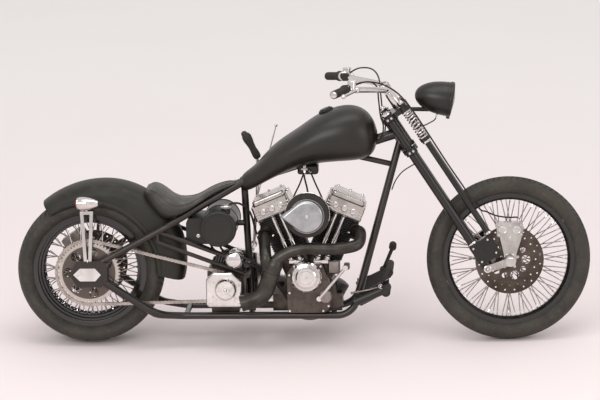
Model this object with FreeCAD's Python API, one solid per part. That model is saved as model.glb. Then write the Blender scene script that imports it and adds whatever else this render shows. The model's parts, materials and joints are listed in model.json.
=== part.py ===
import FreeCAD, Part
import math
import os

# Rigid-frame chopper with a springer fork, parked on its side stand.
# Bike frame while it is modelled: X forward from the rear axle, Y to the left, Z up from the ground.
# At the end the whole bike leans onto the stand, and the origin goes to the floor at mid wheelbase.

# Driving dimensions, in millimetres and degrees
wheelbase = 1790.0
front_tyre_radius = 350.0
front_tyre_width = 96.0
rear_tyre_radius = 316.0
rear_tyre_width = 198.0
rake_angle = 33.0
fork_offset = 92.0
neck_height = 914.0
lean_angle = 7.0
rest_steer_angle = 5.0

# Fits and clearances
shaft_fit = 0.05
seat_gap = 0.3
part_gap = 1.0
moving_gap = 6.0
overrun = 2.0

# Frame tubes and the points that they run between
frame_tube_radius = 15.0
backbone_radius = 22.0
rail_tube_radius = 14.0
cradle_half_width = 112.0
cradle_height = 125.0
cradle_front_x = 1127.0
cradle_rear_x = 400.0
cradle_bend_radius = 90.0
seat_junction_x = 663.0
seat_junction_height = 690.0
axle_plate_y = 160.0
axle_plate_thickness = 8.0

# Engine: crankshaft centre and the 45 degree V
crank_x = 940.0
crank_height = 212.0
cylinder_half_angle = 22.5
deck_distance = 172.0
head_distance = 290.0
rocker_distance = 374.0
rocker_height = 62.0

# Final drive
chain_plane_y = 118.0
chain_pitch = 15.875
rear_sprocket_teeth = 55
front_sprocket_teeth = 23
chain_roller_radius = 5.08
output_shaft_x = 588.0
output_shaft_height = 250.0

# Fork, measured from the neck centre: ahead of the steering axis and up along it
neck_top = 48.0
neck_bottom = 96.0
neck_radius = 30.0
stem_radius = 12.7
fork_leg_spacing = 92.0
rear_leg_radius = 17.0
front_leg_radius = 12.5
front_leg_ahead = 79.0
tree_thickness = 24.0
tree_top_thickness = 22.0


def vec(x, y, z):
    return FreeCAD.Vector(x, y, z)


def unit(vector):
    return vector * (1 / vector.Length)


def rod(start, end, radius):
    axis = end - start
    return Part.makeCylinder(radius, axis.Length, start, axis)


def tube(start, end, radius, bore):
    return rod(start, end, radius).cut(rod(start, end, bore))


def cross_rod(x, z, y_low, y_high, radius):
    # round bar along Y
    return Part.makeCylinder(radius, y_high - y_low, vec(x, y_low, z), vec(0, 1, 0))


def block(x_low, x_high, y_low, y_high, z_low, z_high):
    return Part.makeBox(x_high - x_low, y_high - y_low, z_high - z_low, vec(x_low, y_low, z_low))


def plate(points, y_low, y_high):
    # side-view outline of (x, z) pairs, extruded along Y
    corners = [vec(x, y_low, z) for x, z in points]
    face = Part.Face(Part.makePolygon(corners + corners[:1]))
    return face.extrude(vec(0, y_high - y_low, 0))


def turned(points, x, z):
    # (radius, y) outline turned round an axis along Y through (x, z)
    corners = [vec(x + radius, y, z) for radius, y in points]
    face = Part.Face(Part.makePolygon(corners + corners[:1]))
    return face.revolve(vec(x, 0, z), vec(0, 1, 0), 360)


def stadium(x1, z1, r1, x2, z2, r2, y_low, y_high):
    # two circles joined by their outer tangents
    reach = math.hypot(x2 - x1, z2 - z1)
    tilt = math.atan2(z2 - z1, x2 - x1)
    lift = math.acos((r1 - r2) / reach)

    def at(x, z, r, turn):
        return vec(x + r * math.cos(turn), y_low, z + r * math.sin(turn))

    edges = [
        Part.LineSegment(at(x1, z1, r1, tilt + lift), at(x2, z2, r2, tilt + lift)).toShape(),
        Part.Arc(at(x2, z2, r2, tilt + lift), at(x2, z2, r2, tilt), at(x2, z2, r2, tilt - lift)).toShape(),
        Part.LineSegment(at(x2, z2, r2, tilt - lift), at(x1, z1, r1, tilt - lift)).toShape(),
        Part.Arc(at(x1, z1, r1, tilt - lift), at(x1, z1, r1, tilt + math.pi), at(x1, z1, r1, tilt + lift)).toShape(),
    ]
    return Part.Face(Part.Wire(edges)).extrude(vec(0, y_high - y_low, 0))


def fused(shapes):
    if len(shapes) == 1:
        return shapes[0]
    return shapes[0].multiFuse(shapes[1:]).removeSplitter()


def rounded(shape, radius, chosen):
    # fillet the edges that the test picks by their centre and direction
    edges = [edge for edge in shape.Edges if chosen(edge)]
    return shape.makeFillet(radius, edges)


def along_y(edge):
    if not isinstance(edge.Curve, Part.Line):
        return False
    direction = edge.tangentAt(edge.FirstParameter)
    return abs(direction.y) > max(abs(direction.x), abs(direction.z))


def mirrored(shape):
    return shape.mirror(vec(0, 0, 0), vec(0, 1, 0))


def both_sides(shape):
    return [shape, mirrored(shape)]


def bent_bar(points, radii, bar_radius):
    # straight round runs joined by tangent bends, one bend radius for each inner point
    pieces = []
    last = points[0]
    for index, radius in enumerate(radii):
        corner = points[index + 1]
        back = unit(points[index] - corner)
        towards = unit(points[index + 2] - corner)
        half = back.getAngle(towards) / 2
        setback = radius / math.tan(half)
        start = corner + back * setback
        centre = corner + unit(back + towards) * (radius / math.sin(half))
        axis = unit(towards.cross(back))
        face = Part.Face(Part.Wire([Part.makeCircle(bar_radius, start, back)]))
        pieces.append(rod(last, start, bar_radius))
        pieces.append(face.revolve(centre, axis, 180 - math.degrees(2 * half)))
        last = corner + towards * setback
    pieces.append(rod(last, points[-1], bar_radius))
    return fused(pieces)


def oval_ring(x, half_width, bottom, top, fullness):
    # closed smooth section across the bike, a superellipse between bottom and top
    turns = [2 * math.pi * (step + 0.5) / section_points for step in range(section_points)]
    middle = (top + bottom) / 2
    half_height = (top - bottom) / 2
    points = []
    for turn in turns:
        across = math.copysign(abs(math.cos(turn)) ** fullness, math.cos(turn))
        upward = math.copysign(abs(math.sin(turn)) ** fullness, math.sin(turn))
        points.append(vec(x, half_width * across, middle + half_height * upward))
    curve = Part.BSplineCurve()
    curve.interpolate(Points=points, PeriodicFlag=True)
    return Part.Wire([curve.toShape()])


section_points = 14

# Placements of the front end: along the raked steering axis
rake = math.radians(rake_angle)
axis_up = vec(-math.sin(rake), 0, math.cos(rake))
axis_ahead = vec(math.cos(rake), 0, math.sin(rake))
front_axle = vec(wheelbase, 0, front_tyre_radius)
rear_axle = vec(0, 0, rear_tyre_radius)
axis_foot = front_axle - axis_ahead * fork_offset
fork_drop = (neck_height - axis_foot.z) / axis_up.z
neck_centre = axis_foot + axis_up * fork_drop
seat_junction = vec(seat_junction_x, 0, seat_junction_height)
crank = vec(crank_x, 0, crank_height)
fork_place = FreeCAD.Placement(neck_centre, FreeCAD.Rotation(vec(0, 1, 0), -rake_angle))


def on_fork(ahead, side, up):
    # point given by its distances ahead of the steering axis, to the left, and up the axis
    return neck_centre + axis_ahead * ahead + vec(0, side, 0) + axis_up * up


def in_fork_frame(shape):
    # shape drawn with X ahead of the steering axis and Z up along it
    shape.Placement = fork_place.multiply(shape.Placement)
    return shape


def backbone_height(x):
    share = (x - seat_junction_x) / (neck_centre.x - seat_junction_x)
    return seat_junction_height + share * (neck_centre.z - backbone_radius - seat_junction_height)


# Wheels
front_bead_radius = 267.0
rear_bead_radius = 229.0
rim_flange_height = 14.0
rim_wall = 4.0
front_rim_width = 64.0
rear_rim_width = 146.0
front_rim_well = 11.0
rear_rim_well = 18.0
# corners of a tyre's half section: share of the height above the rim, share of the half width
front_section_shares = ((1.0, 0.31), (0.78, 0.79), (0.49, 1.0))
rear_section_shares = ((1.0, 0.4), (0.75, 0.87), (0.4, 1.0))


def tyre_outline(radius, width, section_shares, bead_radius, rim_width):
    # (radius, y) corners of the whole section, closed by the band that sits on the rim's flanges
    base = bead_radius + rim_flange_height + seat_gap
    half = [(base, rim_width / 2)]
    for height_share, width_share in section_shares[::-1]:
        half.append((base + (radius - base) * height_share, width / 2 * width_share))
    return half + [(r, -y) for r, y in half[::-1]]


def tyre(centre, outline):
    return turned(outline, centre.x, centre.z)


def rim(centre, bead_radius, rim_width, well_depth):
    # drop-centre rim: flanges, bead seats and the well that the spokes pull on
    half = rim_width / 2
    well_half = half * rim_well_share
    inner = bead_radius - rim_wall
    outline = [
        (bead_radius + rim_flange_height, half),
        (bead_radius + rim_flange_height, half - rim_wall),
        (bead_radius, half - rim_wall),
        (bead_radius, well_half + well_depth),
        (bead_radius - well_depth, well_half),
        (bead_radius - well_depth, -well_half),
        (bead_radius, -well_half - well_depth),
        (bead_radius, -half + rim_wall),
        (bead_radius + rim_flange_height, -half + rim_wall),
        (bead_radius + rim_flange_height, -half),
        (inner, -half),
        (inner, -well_half - well_depth),
        (inner - well_depth, -well_half),
        (inner - well_depth, well_half),
        (inner, well_half + well_depth),
        (inner, half),
    ]
    return turned(outline, centre.x, centre.z)


rim_well_share = 0.3
front_tyre_outline = tyre_outline(front_tyre_radius, front_tyre_width, front_section_shares, front_bead_radius,
                                  front_rim_width)
rear_tyre_outline = tyre_outline(rear_tyre_radius, rear_tyre_width, rear_section_shares, rear_bead_radius,
                                 rear_rim_width)
spoke_count = 80
spoke_radius = 2.1
spoke_end_gap = 0.7
spoke_sides = 6
spoke_lacing_angle = 38.0
hub_flange_thickness = 7.0
front_hub_flange_radius = 46.0
front_hub_barrel_radius = 27.0
front_hub_half_length = 36.0
rear_hub_flange_radius = 62.0
rear_hub_barrel_radius = 40.0
rear_hub_half_length = 58.0
axle_radius = 12.7


def spoke(start, end):
    # six-sided spoke, so that many of them stay light
    axis = end - start
    side = unit(axis.cross(vec(0, 1, 0))) * spoke_radius
    turn = FreeCAD.Rotation(axis, 360 / spoke_sides)
    corners = []
    for step in range(spoke_sides):
        corners.append(start + side)
        side = turn.multVec(side)
    face = Part.Face(Part.makePolygon(corners + corners[:1]))
    return face.extrude(axis)


def laced_hub(centre, flange_radius, half_length, outline, rim_radius, rim_spread):
    # hub turned from its outline, with spokes laced forwards and backwards from its two flanges
    hub = turned(outline, centre.x, centre.z)
    hole_radius = flange_radius - hub_flange_thickness / 2
    spokes = []
    for index in range(spoke_count):
        side = 1 if index % 2 else -1
        lean = spoke_lacing_angle if (index // 2) % 2 else -spoke_lacing_angle
        rim_turn = math.radians(360 * (index + 0.5) / spoke_count)
        hub_turn = rim_turn + math.radians(lean)
        flange_y = side * (half_length - hub_flange_thickness / 2)
        start = centre + vec(hole_radius * math.cos(hub_turn), flange_y, hole_radius * math.sin(hub_turn))
        end = centre + vec(rim_radius * math.cos(rim_turn), side * rim_spread, rim_radius * math.sin(rim_turn))
        spokes.append(spoke(start, end))
    return hub.multiFuse(spokes)


disc_seat_radius = 30.0
disc_flange_radius = 42.0
disc_flange_thickness = 8.0
rear_seat_radius = 38.0
rear_flange_radius = 56.0


def half_hub(side, barrel_radius, flange_radius, half_length, seat_radius, seat_y, carrier_radius, end):
    # outline of one half of a hub, from the middle outwards: barrel, spoke flange, carrier and its seat
    points = [(barrel_radius, 0.0), (barrel_radius, half_length - hub_flange_thickness * 2),
              (flange_radius, half_length - hub_flange_thickness), (flange_radius, half_length)]
    if seat_y:
        carrier_low = seat_y - disc_flange_thickness
        points += [(seat_radius, half_length), (seat_radius, carrier_low - hub_flange_thickness),
                   (carrier_radius, carrier_low), (carrier_radius, seat_y), (seat_radius - shaft_fit, seat_y),
                   (seat_radius - shaft_fit, end)]
    else:
        points += [(barrel_radius, half_length), (barrel_radius, end)]
    return [(radius, side * y) for radius, y in points]


def front_hub():
    disc_face = disc_plane_y - disc_thickness / 2 - seat_gap / 2
    right = half_hub(-1, front_hub_barrel_radius, front_hub_flange_radius, front_hub_half_length, disc_seat_radius,
                     disc_face, disc_flange_radius, disc_plane_y + disc_thickness / 2 + hub_boss_gap)
    left = half_hub(1, front_hub_barrel_radius, front_hub_flange_radius, front_hub_half_length, disc_seat_radius,
                    0, disc_flange_radius, front_hub_half_length + hub_boss_gap)
    bore = axle_radius + shaft_fit
    outline = [(bore, left[-1][1])] + left[:0:-1] + right[1:] + [(bore, right[-1][1])]
    rim_face = front_bead_radius - rim_wall - front_rim_well - spoke_end_gap
    return laced_hub(front_axle, front_hub_flange_radius, front_hub_half_length, outline, rim_face,
                     front_rim_width * spoke_spread_share)


def rear_hub():
    outline = []
    for side, seat_y, end in ((1, rear_disc_y - disc_thickness / 2 - seat_gap / 2, rear_hub_left_end),
                              (-1, chain_plane_y - sprocket_thickness / 2 - seat_gap / 2, rear_hub_right_end)):
        half = half_hub(side, rear_hub_barrel_radius, rear_hub_flange_radius, rear_hub_half_length,
                        rear_seat_radius, seat_y, rear_flange_radius, end)
        outline.append(half)
    bore = axle_radius + shaft_fit
    left, right = outline
    outline = [(bore, left[-1][1])] + left[:0:-1] + right[1:] + [(bore, right[-1][1])]
    rim_face = rear_bead_radius - rim_wall - rear_rim_well - spoke_end_gap
    return laced_hub(rear_axle, rear_hub_flange_radius, rear_hub_half_length, outline, rim_face,
                     rear_rim_width * spoke_spread_share)


def rear_sprocket():
    wheel = sprocket(rear_axle.x, rear_axle.z, rear_sprocket_teeth, rear_seat_radius, -chain_plane_y)
    half = sprocket_thickness / 2 + overrun
    cuts = []
    for index in range(sprocket_holes):
        turn = 2 * math.pi * (index + 0.5) / sprocket_holes
        x = rear_axle.x + sprocket_hole_circle * math.cos(turn)
        z = rear_axle.z + sprocket_hole_circle * math.sin(turn)
        cuts.append(cross_rod(x, z, -chain_plane_y - half, -chain_plane_y + half, sprocket_hole_radius))
    return wheel.cut(Part.makeCompound(cuts))


spoke_spread_share = 0.1


disc_plane_y = 62.0
disc_thickness = 5.0
disc_radius = 146.0
disc_carrier_radius = 90.0
disc_hole_radius = 19.0
disc_small_hole_radius = 12.0
disc_hole_circle = 70.0
disc_hole_pairs = 5
vent_hole_radius = 4.0
vent_holes_per_ring = 20
vent_ring_radii_shares = (0.76, 0.9)
rear_disc_radius = 146.0
rear_disc_y = 92.0


def brake_disc(centre, y, bore, radius):
    # one drilled disc with large and small lightening holes in turn, and two rings of vent holes
    low = y - disc_thickness / 2
    high = y + disc_thickness / 2
    disc = cross_rod(centre.x, centre.z, low, high, radius)
    cuts = [cross_rod(centre.x, centre.z, low - overrun, high + overrun, bore)]
    for index in range(2 * disc_hole_pairs):
        turn = math.pi * index / disc_hole_pairs
        hole = disc_small_hole_radius if index % 2 else disc_hole_radius
        x = centre.x + disc_hole_circle * math.cos(turn)
        z = centre.z + disc_hole_circle * math.sin(turn)
        cuts.append(cross_rod(x, z, low - overrun, high + overrun, hole))
    for ring, share in enumerate(vent_ring_radii_shares):
        for index in range(vent_holes_per_ring):
            turn = 2 * math.pi * (index + ring / 2) / vent_holes_per_ring
            x = centre.x + radius * share * math.cos(turn)
            z = centre.z + radius * share * math.sin(turn)
            cuts.append(spun_hexagon(x, z, low - overrun, high + overrun, vent_hole_radius))
    return disc.cut(Part.makeCompound(cuts))


def spun_hexagon(x, z, y_low, y_high, radius):
    corners = []
    for step in range(spoke_sides):
        turn = 2 * math.pi * step / spoke_sides
        corners.append((x + radius * math.cos(turn), z + radius * math.sin(turn)))
    return plate(corners, y_low, y_high)


# Final drive chain and sprockets
sprocket_thickness = 8.0
chain_plate_thickness = 2.4
chain_plate_half_height = 7.2
chain_gap = 0.6
tooth_depth = 9.0
sprocket_hole_radius = 21.0
sprocket_hole_circle = 88.0
sprocket_holes = 7
sprocket_bore = 38.0


def pitch_radius(teeth):
    return chain_pitch / (2 * math.sin(math.pi / teeth))


def sprocket(x, z, teeth, bore, y_middle):
    # teeth stop just under the rollers, so that the wheel turns inside the fixed loop
    tip = pitch_radius(teeth) - chain_roller_radius - chain_gap
    root = tip - tooth_depth
    corners = []
    for index in range(teeth):
        for share, radius in ((0.0, root), (0.35, tip), (0.65, tip)):
            turn = 2 * math.pi * (index + share) / teeth
            corners.append((x + radius * math.cos(turn), z + radius * math.sin(turn)))
    half = sprocket_thickness / 2
    wheel = plate(corners, y_middle - half, y_middle + half)
    return wheel.cut(cross_rod(x, z, y_middle - half - overrun, y_middle + half + overrun, bore))


def chain_loop(half_height, y_low, y_high):
    # closed band round both sprockets, centred on their pitch circles
    rear_r = pitch_radius(rear_sprocket_teeth)
    front_r = pitch_radius(front_sprocket_teeth)
    outside = stadium(rear_axle.x, rear_axle.z, rear_r + half_height, output_shaft_x, output_shaft_height,
                      front_r + half_height, y_low, y_high)
    inside = stadium(rear_axle.x, rear_axle.z, rear_r - half_height, output_shaft_x, output_shaft_height,
                     front_r - half_height, y_low - overrun, y_high + overrun)
    return outside.cut(inside)


def drive_chain():
    # rows of rollers between two rows of side plates
    inner_half = sprocket_thickness / 2 + part_gap
    outer_half = inner_half + chain_plate_thickness
    middle = -chain_plane_y
    layers = [
        chain_loop(chain_roller_radius, middle - inner_half, middle + inner_half),
        chain_loop(chain_plate_half_height, middle - outer_half, middle - inner_half),
        chain_loop(chain_plate_half_height, middle + inner_half, middle + outer_half),
    ]
    return layers[0].multiFuse(layers[1:])


# Frame
downtube_top_up = -40.0
downtube_top_half_gap = 17.0
cross_tube_height = 758.0
cross_tube_reach = 240.0
seat_post_x = 690.0
axle_plate_shares = ((-0.85, 0.0), (-0.5, -0.5), (0.62, -0.5), (0.9, -0.22), (0.9, 0.42), (0.62, 0.5), (-0.5, 0.5))
axle_plate_length = 92.0
axle_plate_height = 112.0
stay_rise = 24.0
swing_reach = 112.0
swing_rise_share = 0.1
rail_start_rise = 44.0
brace_foot_x = 676.0
brace_foot_height = 345.0
brace_top_x = 300.0
brace_gap = 46.0
brace_radius = 9.0
cross_bar_radius = 12.0
bracket_thickness = 8.0


def frame_backbone():
    neck = rod(on_fork(0, 0, -neck_bottom), on_fork(0, 0, neck_top), neck_radius)
    cups = [
        rod(on_fork(0, 0, -neck_bottom), on_fork(0, 0, cup_height - neck_bottom), neck_radius + cup_rim),
        rod(on_fork(0, 0, neck_top - cup_height), on_fork(0, 0, neck_top), neck_radius + cup_rim),
    ]
    top = rod(seat_junction, neck_centre - axis_up * backbone_radius, backbone_radius)
    end_cap = Part.makeSphere(backbone_radius, seat_junction)
    whole = fused([neck, top, end_cap] + cups)
    bore = rod(on_fork(0, 0, -neck_bottom - overrun), on_fork(0, 0, neck_top + overrun), neck_bore_radius)
    return whole.cut(bore)


cup_height = 16.0
cup_rim = 4.0
neck_bore_radius = 18.0


def downtube_points(side):
    top = on_fork(0, side * downtube_top_half_gap, downtube_top_up)
    corner = vec(cradle_front_x, side * cradle_half_width, cradle_height)
    rear = vec(cradle_rear_x, side * cradle_half_width, cradle_height)
    return top, corner, rear


def downtube_split(side):
    # where the straight downtube ends and the bend of the lower rail begins
    top, corner, rear = downtube_points(side)
    back = unit(top - corner)
    half = back.getAngle(rear - corner) / 2
    return corner + back * (cradle_bend_radius / math.tan(half))


def downtube_at(height, side):
    top, corner, rear = downtube_points(side)
    share = (height - corner.z) / (top.z - corner.z)
    return corner + (top - corner) * share


def frame_downtubes(backbone):
    tubes = []
    for side in (1, -1):
        top, corner, rear = downtube_points(side)
        tubes.append(rod(downtube_split(side), top, frame_tube_radius))
    left = downtube_at(cross_tube_height, 1)
    right = downtube_at(cross_tube_height, -1)
    tie = rod(right, left, cross_bar_radius)
    middle = (left + right) * 0.5
    back_x = middle.x - cross_tube_reach
    strut = rod(middle, vec(back_x, 0, backbone_height(back_x)), cross_bar_radius)
    bore = rod(on_fork(0, 0, -neck_bottom - overrun), on_fork(0, 0, neck_top + overrun), neck_bore_radius)
    return fused(tubes + [tie, strut]).cut(backbone).cut(bore)


def frame_lower_rails():
    rails = []
    for side in (1, -1):
        top, corner, rear = downtube_points(side)
        start = downtube_split(side)
        stay_y = side * (axle_plate_y - frame_tube_radius)
        swing = vec(cradle_rear_x - swing_reach, stay_y, cradle_height + swing_reach * swing_rise_share)
        plate_foot = vec(axle_plate_length * 0.5, stay_y, rear_tyre_radius - stay_rise)
        radii = [cradle_bend_radius, cradle_bend_radius, cradle_bend_radius]
        rails.append(bent_bar([start, corner, rear, swing, plate_foot], radii, frame_tube_radius))
    cross_x_shares = (0.02, 0.455, 1.01)
    bars = []
    for share in cross_x_shares:
        x = cradle_rear_x + share * (cradle_front_x - cradle_bend_radius - cradle_rear_x)
        bars.append(cross_rod(x, cradle_height, -cradle_half_width, cradle_half_width, cross_bar_radius))
    return fused(rails + bars)


def axle_plate(side):
    points = []
    for x_share, z_share in axle_plate_shares:
        points.append((axle_plate_length * x_share, rear_tyre_radius + axle_plate_height * z_share))
    low = side * axle_plate_y - axle_plate_thickness / 2
    high = side * axle_plate_y + axle_plate_thickness / 2
    whole = plate(points, low, high)
    return whole.cut(cross_rod(0, rear_tyre_radius, low - overrun, high + overrun, axle_radius + shaft_fit))


def seat_rail_path(side):
    start = vec(axle_plate_length * 0.5, side * (axle_plate_y - rail_tube_radius), rear_tyre_radius + rail_start_rise)
    end = vec(seat_junction_x, side * (backbone_radius + rail_tube_radius) * 0.8, seat_junction_height)
    wide = vec(brace_top_x + rail_straight_reach, side * (axle_plate_y - axle_plate_thickness - rail_tube_radius), 0)
    share = (wide.x - start.x) / (end.x - start.x)
    wide.z = start.z + share * (end.z - start.z)
    return start, wide, end


rail_straight_reach = 30.0
rail_bend_radius = 150.0


def frame_seat_rail(side, backbone, rails):
    start, wide, end = seat_rail_path(side)
    rail = bent_bar([start, wide, end], [rail_bend_radius], rail_tube_radius)
    foot = vec(brace_foot_x, side * (cradle_half_width - frame_tube_radius), brace_foot_height)
    braces = []
    for drop in (0.0, brace_gap):
        share = (brace_top_x - start.x) / (wide.x - start.x)
        top = start + (wide - start) * share - vec(0, 0, drop)
        braces.append(rod(top, foot - vec(0, 0, drop), brace_radius))
    link = rod(start + (wide - start) * share, top, brace_radius)
    whole = fused([rail, axle_plate(side), link] + braces)
    return whole.cut(backbone).cut(rails)


def frame_seat_post(backbone, rails, seat_rails):
    post = rod(vec(seat_post_x, 0, cradle_height), vec(seat_junction_x, 0, seat_junction_height), frame_tube_radius)
    half = cradle_half_width
    bars = [
        cross_rod(brace_foot_x, brace_foot_height, -half, half, cross_bar_radius),
        cross_rod(brace_foot_x, brace_foot_height - brace_gap, -half, half, cross_bar_radius),
    ]
    return fused([post] + bars).cut(backbone).cut(rails).cut(seat_rails[0]).cut(seat_rails[1])


# Tank and seat: sections along the bike as shares of length, height and half width
tank_start_x = 646.0
tank_length = 588.0
tank_base = 752.0
tank_height = 262.0
tank_half_width = 136.0
tank_fullness = 0.86
tunnel_half_width = 26.0
tank_station_shares = (
    (0.0, -0.36, -0.23, 0.16),
    (0.045, -0.40, -0.085, 0.34),
    (0.1, -0.35, 0.01, 0.46),
    (0.224, -0.20, 0.30, 0.68),
    (0.43, -0.01, 0.635, 0.9),
    (0.57, 0.06, 0.845, 0.98),
    (0.71, 0.09, 0.97, 1.0),
    (0.84, 0.11, 0.985, 0.93),
    (0.93, 0.16, 0.88, 0.77),
    (0.98, 0.27, 0.71, 0.5),
    (1.0, 0.40, 0.58, 0.22),
)
cap_radius = 30.0
cap_height = 9.0
cap_share = 0.632


def lofted(start_x, length, base, height, half_width, stations, fullness):
    rings = []
    for x_share, low_share, high_share, width_share in stations:
        rings.append(oval_ring(
            start_x + length * x_share, half_width * width_share,
            base + height * low_share, base + height * high_share, fullness))
    return Part.makeLoft(rings, True, False)


def fuel_tank(backbone, downtubes, seat_rails):
    shell = lofted(tank_start_x, tank_length, tank_base, tank_height, tank_half_width, tank_station_shares,
                   tank_fullness)
    rise = backbone_radius + part_gap
    front_x = tank_start_x + tank_length + overrun
    back_x = tank_start_x - overrun
    floor = tank_base - tank_height
    tunnel = plate([(back_x, floor), (front_x, floor), (front_x, backbone_height(front_x)),
                    (back_x, backbone_height(back_x))], -tunnel_half_width, tunnel_half_width)
    crown = rod(vec(back_x, 0, backbone_height(back_x)), vec(front_x, 0, backbone_height(front_x)),
                rise + overrun)
    shell = shell.cut(tunnel).cut(crown).cut(backbone).cut(downtubes)
    return shell.cut(seat_rails[0]).cut(seat_rails[1])


def tank_cap(tank):
    # round filler cap, square to the tank's sloping back
    slope = math.radians(cap_slope)
    axis = vec(-math.sin(slope), 0, math.cos(slope))
    centre = vec(tank_start_x + tank_length * cap_share, 0, tank_base + tank_height * cap_seat_share)
    body = rod(centre - axis * cap_height, centre + axis * cap_height, cap_radius)
    knob = rod(centre + axis * cap_height, centre + axis * (cap_height + cap_knob_height), cap_radius * 0.8)
    return fused([body, knob]).cut(tank)


cap_slope = 21.5
cap_seat_share = 0.905
cap_knob_height = 4.0

seat_start_x = 236.0
seat_length = 406.0
seat_base = 530.0
seat_height = 160.0
seat_half_width = 148.0
seat_fullness = 0.72
seat_station_shares = (
    (0.0, 0.66, 0.80, 0.50),
    (0.05, 0.45, 0.91, 0.78),
    (0.13, 0.20, 0.93, 0.95),
    (0.22, 0.02, 0.80, 1.0),
    (0.34, 0.05, 0.60, 0.99),
    (0.45, 0.18, 0.545, 0.90),
    (0.58, 0.38, 0.64, 0.74),
    (0.7, 0.58, 0.82, 0.60),
    (0.83, 0.76, 0.95, 0.48),
    (0.95, 0.90, 1.0, 0.36),
    (1.0, 0.94, 0.99, 0.26),
)
soft_gap = 1.0

# Rear fender: its crown is a circle set ahead of the axle, its skirt edge is concentric with the wheel
fender_centre_ahead = 50.0
fender_radius = 374.0
fender_half_width = 109.0
fender_depth = 150.0
fender_wall = 2.5
fender_skirt_radius = 292.0
fender_start_angle = -14.0
fender_end_angle = 131.0
fender_crown_share = 0.42


def fender_outline(inset):
    # half a crowned section: (radius, y) points from the crown to the skirt and back
    radius = fender_radius - inset
    half = fender_half_width - inset
    crown = fender_half_width * fender_crown_share
    return radius, half, crown


def fender_body(inset, depth):
    radius, half, crown = fender_outline(inset)
    x = fender_centre_ahead

    def at(r, y):
        return vec(x + r, y, rear_tyre_radius)

    edges = [
        Part.LineSegment(at(radius - depth, -half), at(radius - crown, -half)).toShape(),
        Part.Arc(at(radius - crown, -half), at(radius - crown * 0.3, -half * 0.82), at(radius - crown * 0.06, -half * 0.42)).toShape(),
        Part.Arc(at(radius - crown * 0.06, -half * 0.42), at(radius, 0), at(radius - crown * 0.06, half * 0.42)).toShape(),
        Part.Arc(at(radius - crown * 0.06, half * 0.42), at(radius - crown * 0.3, half * 0.82), at(radius - crown, half)).toShape(),
        Part.LineSegment(at(radius - crown, half), at(radius - depth, half)).toShape(),
        Part.LineSegment(at(radius - depth, half), at(radius - depth, -half)).toShape(),
    ]
    face = Part.Face(Part.Wire(edges))
    start = FreeCAD.Rotation(vec(0, 1, 0), -fender_start_angle)
    centre = vec(x, 0, rear_tyre_radius)
    face.rotate(centre, vec(0, 1, 0), -fender_start_angle)
    return face.revolve(centre, vec(0, 1, 0), fender_start_angle - fender_end_angle)


def rear_fender():
    shell = fender_body(0, fender_depth).cut(fender_body(fender_wall, fender_depth + overrun))
    half = fender_half_width + overrun
    return shell.cut(cross_rod(0, rear_tyre_radius, -half, half, fender_skirt_radius))


def seat(fender_solid, seat_rails, backbone):
    body = lofted(seat_start_x, seat_length, seat_base, seat_height, seat_half_width, seat_station_shares,
                  seat_fullness)
    body = body.cut(fender_solid)
    for side in (1, -1):
        start, wide, end = seat_rail_path(side)
        body = body.cut(bent_bar([start, wide, end], [rail_bend_radius], rail_tube_radius + soft_gap))
    cap = Part.makeSphere(backbone_radius + soft_gap, seat_junction)
    body = body.cut(cap).cut(rod(seat_junction, neck_centre, backbone_radius + soft_gap))
    solids = sorted(body.Solids, key=lambda solid: solid.Volume)
    return solids[-1]


# Struts and lamps on the rear fender
strut_y = 151.0
strut_thickness = 5.0
strut_top_height = 588.0
strut_width = 56.0
strut_leg_width = 14.0
strut_foot_height = 362.0
strut_foot_spread = 9.0
lamp_length = 104.0
lamp_radius = 30.0
lamp_height = 614.0


def fender_strut():
    top = strut_top_height
    half = strut_width / 2
    legs = []
    for side in (1, -1):
        legs.append(plate([
            (side * half, top), (side * (half - strut_leg_width), top),
            (side * (strut_foot_spread - strut_leg_width / 2), strut_foot_height),
            (side * (strut_foot_spread + strut_leg_width / 2), strut_foot_height),
        ], -strut_y - strut_thickness, -strut_y))
    bar = plate([(-half, top - strut_leg_width), (half, top - strut_leg_width), (half, top), (-half, top)],
                -strut_y - strut_thickness, -strut_y)
    arm = plate([(-half, top - strut_thickness), (half, top - strut_thickness), (half, top), (-half, top)],
                -strut_y, -fender_half_width)
    return fused([bar, arm] + legs)


def marker_lamp(strut):
    # teardrop shell turned round its long axis, with a round lens at the back
    rings = ((0.0, 0.80), (0.05, 0.95), (0.2, 1.0), (0.36, 0.97), (0.52, 0.86), (0.68, 0.69), (0.84, 0.42), (0.95, 0.18))
    start_x = -lamp_length * lamp_back_share
    corners = [vec(start_x, 0, 0)]
    for x_share, radius_share in rings:
        corners.append(vec(start_x + lamp_length * x_share, 0, lamp_radius * radius_share))
    corners.append(vec(start_x + lamp_length, 0, 0))
    outline = Part.makePolygon(corners + corners[:1])
    shell = Part.Face(outline).revolve(vec(0, 0, 0), vec(1, 0, 0), 360)
    shell.translate(vec(0, -strut_y, lamp_height + lamp_radius * 0.2))
    stem = rod(vec(0, -strut_y, lamp_height), vec(0, -strut_y, strut_top_height + seat_gap), strut_thickness)
    return fused([shell, stem]).cut(strut)


lamp_back_share = 0.36


# Engine
case_radius = 116.0
case_right = 74.0
case_left = 84.0
deck_half_width = 66.0
chest_right = 136.0
cam_height = 85.0
chest_shares = ((-0.98, -0.78), (0.75, -0.78), (1.0, -0.5), (1.0, 0.55), (0.62, 1.55), (-0.7, 1.55), (-0.98, 1.1))
fin_thickness = 3.0
fin_pitch = 10.0
barrel_radius = 50.0
fin_half_length = 74.0
fin_half_side = 74.0
head_half_length = 83.0
head_half_side = 78.0
fin_corner_radius = 26.0
rocker_half_length = 84.0
rocker_half_side = 92.0
rocker_corner_radius = 14.0
rocker_cap_height = 22.0


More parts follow.
